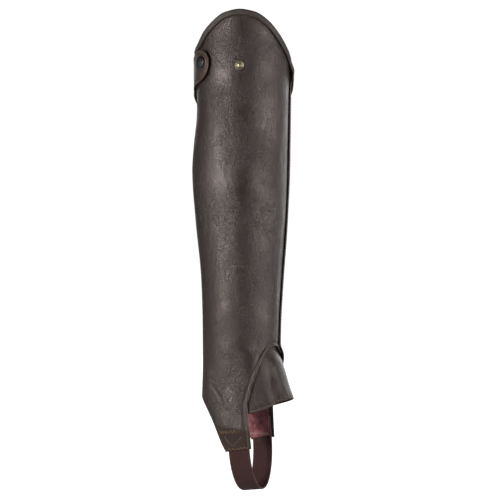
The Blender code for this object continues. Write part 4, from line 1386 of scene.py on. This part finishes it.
def build_teeth():
    """Two rows of teeth that mesh down the middle, each tooth a small rounded block."""
    block = bmesh.new()
    bmesh.ops.create_cube(block, size=1.0)
    bmesh.ops.bevel(block, geom=block.edges[:], offset=TOOTH_BEVEL, segments=1, profile=0.6,
                    affect="EDGES")
    shape = np.array([tuple(v.co) for v in block.verts])
    faces = [[v.index for v in face.verts] for face in block.faces]
    block.free()
    half = CHAIN_WIDTH / 2
    vertices, all_faces = [], []
    steps = int((ZIP_TOP - ZIP_BOTTOM) / TOOTH_PITCH)
    for row in range(2 * steps):
        side = 1 if row % 2 else -1
        height = ZIP_BOTTOM + (row + 1) * TOOTH_PITCH / 2
        origin = leg_surface(ZIP_ANGLE, height)
        outward = leg_normal(np.float64(ZIP_ANGLE), np.float64(height))
        across = np.array((0.0, -1.0, 0.0))
        up = np.cross(outward, across)
        local = shape * np.array((CHAIN_THICKNESS, half + TOOTH_MESH, TOOTH_PITCH * TOOTH_SHARE))
        local[:, 1] += side * (half - TOOTH_MESH) / 2
        local[:, 0] -= CHAIN_DEPTH
        base = len(vertices) * len(shape)
        sideways = local[:, 1:2] * across
        vertices.append(origin + local[:, :1] * outward + sideways + local[:, 2:] * up)
        all_faces += [[index + base for index in face] for face in faces]
    made = new_object("zip_teeth", np.vstack(vertices), all_faces, (teeth_metal,), smooth=False)
    return piece(made, "zip_chain", slot="dark_metal")


# Angles of the metal pieces: joined as flat, eased, and shown as an edge
FLAT_JOIN = 2
EASED_EDGE = 40
SHOWN_EDGE = 50


def bevelled(node, name, width, body, look):
    """A copy of a hard piece with its edges eased."""
    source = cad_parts[node]
    mesh = source.data.copy()
    made = bpy.data.objects.new(name, mesh)
    bpy.context.scene.collection.objects.link(made)
    mesh.materials.clear()
    mesh.materials.append(look)
    shape = bmesh.new()
    shape.from_mesh(mesh)
    bmesh.ops.remove_doubles(shape, verts=shape.verts, dist=1e-6)
    bmesh.ops.dissolve_limit(shape, angle_limit=math.radians(FLAT_JOIN), verts=shape.verts,
                             edges=shape.edges)
    least = math.radians(EASED_EDGE)
    sharp = [e for e in shape.edges if e.is_manifold and e.calc_face_angle(0.0) > least]
    bmesh.ops.bevel(shape, geom=sharp, offset=width * MM, segments=2, profile=0.7, affect="EDGES")
    bmesh.ops.triangulate(shape, faces=shape.faces)
    shape.to_mesh(mesh)
    shape.free()
    mesh.shade_smooth()
    mesh.set_sharp_from_angle(angle=math.radians(SHOWN_EDGE))
    return piece(made, node, body=body, slot="dark_metal")


# A stitch: how far along it, then thickness and rise as shares of the thread's radius
STITCH_TURNS = 6
STITCH_PROFILE = (
    (0.0, 0.45, -0.55),
    (0.14, 0.95, 0.05),
    (0.5, 1.1, 0.32),
    (0.86, 0.95, 0.05),
    (1.0, 0.45, -0.55),
)


def stitches(name, target, lines, stitch, look, slot="brown_leather"):
    """Short rounded threads along lines in flat places, laid on a piece's surface."""
    length, space, radius = stitch
    mesh = target.data
    tree = BVHTree.FromPolygons([v.co / MM for v in mesh.vertices],
                                [tuple(p.vertices) for p in mesh.polygons])
    vertices, faces = [], []
    for line, reach in lines:
        line = spaced(line, 0.5)
        total = running_length(line)
        start = 0.0
        while start + length <= total[-1] + 1e-6:
            ends = []
            for at in (start, start + length):
                place = [float(np.interp(at, total, line[:, i])) for i in (0, 1)]
                angle = math.degrees(place[0] / FLAT_RADIUS)
                far = on_leg(angle, place[1], reach)
                near = on_leg(angle, place[1], 0.0)
                way = Vector(near - far).normalized()
                hit, normal, _, gap = tree.ray_cast(Vector(far), way)
                if hit is not None and gap < abs(reach) + RAY_BEYOND:
                    if normal.dot(way) > 0:
                        normal = -normal
                    ends.append((hit, normal))
            start += length + space
            if len(ends) < 2:
                continue
            (a, normal_a), (b, normal_b) = ends
            along = b - a
            normal = (normal_a + normal_b).normalized()
            side = along.cross(normal).normalized()
            base = len(vertices)
            for t, size, rise in STITCH_PROFILE:
                middle = a + along * t + normal * (rise * radius)
                for k in range(STITCH_TURNS):
                    turn = math.tau * k / STITCH_TURNS
                    outward = side * math.cos(turn) + normal * math.sin(turn)
                    vertices.append(tuple(middle + outward * (radius * size)))
            for r in range(len(STITCH_PROFILE) - 1):
                for k in range(STITCH_TURNS):
                    j = (k + 1) % STITCH_TURNS
                    low, high = base + r * STITCH_TURNS, base + (r + 1) * STITCH_TURNS
                    faces.append((low + k, high + k, high + j, low + j))
            faces.append(tuple(range(base, base + STITCH_TURNS)))
            faces.append(tuple(reversed(range(len(vertices) - STITCH_TURNS, len(vertices)))))
    made = new_object(name, vertices, faces, (look,))
    return piece(made, slot=slot)


def leftward(line):
    """Steps of one to the left of a flat line, as it runs."""
    ahead = np.gradient(line, axis=0)
    left = np.column_stack((-ahead[:, 1], ahead[:, 0]))
    return left / np.linalg.norm(left, axis=1, keepdims=True)


def beside(line, away):
    """A line moved sideways in the flat, to its left as it runs."""
    line = spaced(line, 2.0)
    return line + leftward(line) * away


def zigzag_threads(line, half, pitch, reach):
    """Each leg of a zigzag about a line, as a line of its own."""
    line = spaced(line, pitch / 2)
    side = np.where(np.arange(len(line)) % 2, 1.0, -1.0)[:, None]
    points = line + leftward(line) * half * side
    return [((points[i], points[i + 1]), reach) for i in range(len(points) - 1)]


outer_panel, outer_cut = build_outer_panel()
inner_panel, inner_cut = build_inner_panel()
gusset, gusset_cut = build_gusset()
strip, strip_cut = build_strip()
tab, tab_cut = build_tab()
binding = build_binding()
strap = build_strap()
lining = build_lining()
tapes = build_tapes()
build_teeth()
bevelled("zip_slider", "zip_slider_metal", width=0.25, body="chap", look=gunmetal)
bevelled("zip_pull", "zip_pull_metal", width=0.22, body="pull", look=gunmetal)

# Where the rays that lay the threads start, outside and inside the leather, and how far
# past it they still count
OUT = 12.0
IN = -14.0
RAY_BEYOND = 12

# Stitches: length, space, radius of the thread
PANEL_STITCH = (2.3, 0.9, 0.30)
ARCH_STITCH = (1.7, 0.8, 0.24)
TAB_STITCH = (1.7, 0.8, 0.28)
HEM_STITCH = (1.6, 0.9, 0.30)
BOX_STITCH = (2.0, 0.7, 0.30)
CROSS_STITCH = (2.0, 0.9, 0.17)
LINING_STITCH = (2.5, 0.1, 0.32)
ZIGZAG_SPACE = 0.2
ZIGZAG_THREAD = 0.36
ZIGZAG_PITCH = 3.2
ZIGZAG_SHORT = 0.15
LINING_ZIGZAG_HALF = 1.2
LINING_ZIGZAG_PITCH = 2.4

# How far in from an edge a row of sewing runs
ARCH_ROW = 2.1
BACK_ROW = 2.8
HEM_ROW = 2.3
TAB_ROW = 2.3
SEAM_ROWS = (2.6, 5.6)

# Sewing seen on the outer tongue: pixels of the photograph
TONGUE_ROW = ((220.4, 431.4), (228.0, 430.6), (236.5, 429.6))
TONGUE_ROW_WORN = ((237.0, 429.5), (244.5, 428.0))
TONGUE_END_ROW = ((226.6, 448.4), (237.0, 447.2), (248.4, 445.2))
TONGUE_BOX = (((224.5, 435.4), (233.4, 444.6)), ((233.4, 444.6), (243.0, 433.0)))

# Sewing seen on the suede inside the far tongue, and how far back the camera's tilt takes it
LINING_ROW = ((251.0, 435.8), (261.0, 435.2), (270.3, 434.6))
LINING_CROSS = (((252.0, 412.0), (270.0, 431.0)), ((269.0, 411.0), (252.0, 431.0)))
FAR_TONGUE_DEPTH = 51.5


def seen_inside(px, py):
    """The flat place of a pixel on the far tongue, whose inner face the camera sees."""
    away = math.radians(CAMERA_ELEVATION) * FAR_TONGUE_DEPTH
    height = (ORIGIN_PIXEL[1] - py) * PIXEL - away
    turn = math.radians(CAMERA_AZIMUTH)
    across = (px - ORIGIN_PIXEL[0]) * PIXEL
    angles = np.linspace(-120.0, -40.0, 81)
    points = on_leg(angles, np.full(81, height), UNDER)
    seen_at = points[:, 0] * math.cos(turn) + points[:, 1] * math.sin(turn)
    return flat(float(np.interp(across, seen_at, angles)), float(height))


def arch_row(cut, away):
    """One row of sewing along the arch and down the front of the tongue."""
    return [(beside(np.vstack((cut.lines["arch"], cut.lines["front"])), away), OUT)]


def edge_rows(cut, *rows):
    """Rows of sewing, each beside a named edge."""
    return [(beside(cut.lines[name], away), OUT) for name, away in rows]


stitches("arch_edge_sewing", outer_panel, arch_row(outer_cut, ARCH_ROW), ARCH_STITCH, pale_thread)
stitches("outer_panel_sewing", outer_panel,
         edge_rows(outer_cut, ("back", BACK_ROW), ("hem", BACK_ROW)), PANEL_STITCH, brown_thread)
for name, row, half, look in (("outer_tongue_zigzag", TONGUE_ROW, 1.9, orange_thread),
                              ("outer_tongue_zigzag_worn", TONGUE_ROW_WORN, 1.9, brown_thread),
                              ("outer_tongue_end_zigzag", TONGUE_END_ROW, 1.4, orange_thread)):
    rows = zigzag_threads([seen(*place) for place in row], half, ZIGZAG_PITCH, OUT)
    leg = math.hypot(2 * half, ZIGZAG_PITCH / 2) - ZIGZAG_SHORT
    stitches(name, outer_panel, rows, (leg, ZIGZAG_SPACE, ZIGZAG_THREAD), look)
box_rows = [([seen(*place) for place in line], OUT) for line in TONGUE_BOX]
stitches("outer_tongue_box", outer_panel, box_rows, BOX_STITCH, pale_thread)
stitches("inner_arch_sewing", inner_panel, arch_row(inner_cut, -ARCH_ROW), ARCH_STITCH, pale_thread)
stitches("inner_panel_sewing", inner_panel,
         edge_rows(inner_cut, ("back", -BACK_ROW), ("hem", -BACK_ROW),
                   ("seam", -SEAM_ROWS[0]), ("seam", -SEAM_ROWS[1])),
         PANEL_STITCH, brown_thread)
stitches("gusset_hem_sewing", gusset, edge_rows(gusset_cut, ("hem", HEM_ROW)), HEM_STITCH,
         orange_thread)
stitches("back_strip_sewing", strip, edge_rows(strip_cut, ("zip", BACK_ROW)), PANEL_STITCH,
         brown_thread)
stitches("snap_tab_sewing", tab, edge_rows(tab_cut, ("round", -TAB_ROW)), TAB_STITCH, brown_thread)
lining_rows = zigzag_threads([seen_inside(*place) for place in LINING_ROW],
                             LINING_ZIGZAG_HALF, LINING_ZIGZAG_PITCH, IN)
stitches("lining_zigzag", lining, lining_rows, LINING_STITCH, pink_thread, "burgundy_suede")
cross_rows = [([seen_inside(*place) for place in line], IN) for line in LINING_CROSS]
stitches("lining_cross", lining, cross_rows, CROSS_STITCH, plum_thread, "burgundy_suede")


TURNED_STEPS = 72
ROPE_LOBES = 26


def turned(name, node, profile, angle, height, out, look, slot):
    """A turned piece on the leg. A row holds radius, height, dirt and painted shade, and rope edge.
    """
    outward = Vector(leg_normal(np.float64(angle), np.float64(height)))
    spin = outward.to_track_quat("Z", "Y").to_matrix()
    place = Vector(on_leg(angle, height, np.float64(out)))
    vertices, dark, faces = [], [], []
    for radius, up, shade, rope in profile:
        for k in range(TURNED_STEPS):
            turn = math.tau * k / TURNED_STEPS
            lift = up + rope * math.cos(ROPE_LOBES * turn)
            local = Vector((radius * math.cos(turn), radius * math.sin(turn), lift))
            vertices.append(tuple(place + spin @ local))
            dark.append(shade)
    for row in range(len(profile) - 1):
        for k in range(TURNED_STEPS):
            j = (k + 1) % TURNED_STEPS
            low, high = row * TURNED_STEPS, (row + 1) * TURNED_STEPS
            faces.append((low + k, high + k, high + j, low + j))
    faces.append(tuple(reversed(range(TURNED_STEPS))))
    last = (len(profile) - 1) * TURNED_STEPS
    faces.append(tuple(range(last, last + TURNED_STEPS)))
    made = new_object(name, vertices, faces, (look,))
    face_outward(made.data)
    paint(made, "painted_shade_and_grime", dark)
    made.data.set_sharp_from_angle(angle=math.radians(60))
    return piece(made, node, slot=slot)


STUD_ANGLE = 67.2
STUD_HEIGHT = 110.2

# Turned profiles: radius, height, dirt and painted shade, rope edge
STUD_PROFILE = (
    (0.12, 1.75, 0.0, 0.0),
    (0.9, 1.68, 0.0, 0.0),
    (1.6, 1.48, 0.1, 0.0),
    (2.15, 1.15, 0.5, 0.0),
    (2.4, 1.02, 0.9, 0.0),
    (2.6, 1.2, 0.4, 0.03),
    (2.85, 1.46, 0.0, 0.06),
    (3.15, 1.5, 0.0, 0.06),
    (3.4, 1.3, 0.3, 0.03),
    (3.65, 1.05, 0.9, 0.0),
    (3.85, 1.1, 0.6, 0.0),
    (4.1, 1.45, 0.1, 0.0),
    (4.4, 1.62, 0.0, 0.0),
    (4.7, 1.5, 0.0, 0.0),
    (4.95, 1.1, 0.0, 0.0),
    (5.0, 0.5, 0.3, 0.0),
    (4.85, 0.0, 0.9, 0.0),
)
CAP_PROFILE = (
    (0.15, 2.2, 0.0, 0.0),
    (1.6, 2.16, 0.0, 0.0),
    (3.0, 2.04, 0.0, 0.0),
    (4.2, 1.84, 0.0, 0.0),
    (5.0, 1.62, 0.1, 0.0),
    (5.35, 1.46, 0.6, 0.0),
    (5.6, 1.3, 1.0, 0.0),
    (5.85, 1.38, 0.5, 0.0),
    (6.1, 1.42, 0.0, 0.0),
    (6.35, 1.3, 0.0, 0.0),
    (6.5, 0.95, 0.0, 0.0),
    (6.5, 0.45, 0.3, 0.0),
    (5.95, 0.0, 0.9, 0.0),
)
turned("brass_stud_detail", "brass_stud", STUD_PROFILE, STUD_ANGLE, STUD_HEIGHT, GAP,
       aged_brass, "old_brass")
cap_seat = float(tab_stand_off(SNAP_ANGLE)) + TAB_THICKNESS + GAP
turned("snap_cap_detail", "snap_cap", CAP_PROFILE, SNAP_ANGLE, SNAP_HEIGHT, cap_seat,
       gunmetal, "dark_metal")
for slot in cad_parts["snap_stud"].material_slots:
    slot.material = gunmetal


def camera_axes():
    """Directions to the right, up and back of the camera."""
    turn, rise = math.radians(CAMERA_AZIMUTH), math.radians(CAMERA_ELEVATION)
    right = Vector((math.cos(turn), math.sin(turn), 0.0))
    back = Vector((math.sin(turn) * math.cos(rise), -math.cos(turn) * math.cos(rise),
                   math.sin(rise)))
    return right, back.cross(right), back


def add_camera():
    right, up, back = camera_axes()
    centre = IMAGE_PIXELS / 2
    height = (ORIGIN_PIXEL[1] - centre) * PIXEL * MM
    aim = right * (centre - ORIGIN_PIXEL[0]) * PIXEL * MM + Vector((0, 0, height))
    data = bpy.data.cameras.new("camera")
    data.sensor_width = SENSOR_MM
    data.lens = SENSOR_MM * CAMERA_DISTANCE_M / (IMAGE_PIXELS * PIXEL * MM)
    made = bpy.data.objects.new("camera", data)
    bpy.context.scene.collection.objects.link(made)
    made.matrix_world = Matrix((right, up, back)).transposed().to_4x4()
    made.location = aim + back * CAMERA_DISTANCE_M
    bpy.context.scene.camera = made


LIGHT_AIM_M = -0.09


def add_light(name, bearing, distance, height, width, tall, power, glossy=True):
    """A softbox in metres and watts, at a bearing to the right of the camera, facing the leg."""
    right, _, back = camera_axes()
    turn = math.radians(bearing)
    level = Vector((back.x, back.y, 0)).normalized()
    place = (level * math.cos(turn) + right * math.sin(turn)) * distance + Vector((0, 0, height))
    data = bpy.data.lights.new(name, "AREA")
    data.shape = "RECTANGLE"
    data.size, data.size_y = width, tall
    data.energy = power
    made = bpy.data.objects.new(name, data)
    bpy.context.scene.collection.objects.link(made)
    made.location = place
    aim = Vector((0, 0, LIGHT_AIM_M)) - place
    made.rotation_euler = aim.to_track_quat("-Z", "Z").to_euler()
    made.visible_glossy = glossy


FILL_LIGHT = 0.07
GROUND_WHITE = 1.05
FLOOR_DROP = 6.0
FLOOR_HALF = 9000.0


def add_world():
    world = bpy.data.worlds.new("studio")
    bpy.context.scene.world = world
    world.use_nodes = True
    tree = world.node_tree
    background = tree.nodes["Background"]
    background.inputs["Color"].default_value = (1.0, 1.0, 1.0, 1.0)
    path = tree.nodes.new("ShaderNodeLightPath")
    level = tree.nodes.new("ShaderNodeMapRange")
    level.inputs["To Min"].default_value = FILL_LIGHT
    level.inputs["To Max"].default_value = GROUND_WHITE
    tree.links.new(path.outputs["Is Camera Ray"], level.inputs["Value"])
    tree.links.new(level.outputs[0], background.inputs["Strength"])


def add_floor():
    """A wide pale floor just below the strap."""
    level = STRAP_BOTTOM - FLOOR_DROP
    size = FLOOR_HALF
    corners = [(-size, -size, level), (size, -size, level),
               (size, size, level), (-size, size, level)]
    look = Look("studio_floor")
    path = look.add("ShaderNodeLightPath").outputs["Is Camera Ray"]
    look.set(Base_Color=(0.45, 0.45, 0.45, 1.0), Roughness=0.9, Specular_IOR_Level=0.1)
    look.set(Emission_Color=(1.0, 1.0, 1.0, 1.0))
    look.set(Emission_Strength=look.times(path, GROUND_WHITE))
    made = new_object("studio_floor", corners, [(0, 1, 2, 3)], (look.material,), smooth=False)


bpy.context.scene.view_settings.view_transform = "Standard"
add_camera()
add_world()
add_floor()
# Name, bearing, distance, height, width and tallness of the box, power
add_light("left_softbox", -46.0, 1.5, -0.25, 0.24, 1.3, 38.0)
add_light("far_left_softbox", -92.0, 1.5, -0.15, 0.7, 1.3, 2.5)
add_light("right_softbox", 62.0, 1.5, -0.08, 0.46, 1.5, 16.5)
add_light("high_fill", 12.0, 1.2, 1.5, 0.9, 0.9, 9.0, glossy=False)
add_light("far_right_softbox", 112.0, 1.5, 0.0, 0.5, 1.4, 1.5)
add_light("back_left", -168.0, 1.8, 0.3, 0.8, 1.2, 6.0)
add_light("back_right", 150.0, 1.8, 0.2, 0.8, 1.4, 9.0)
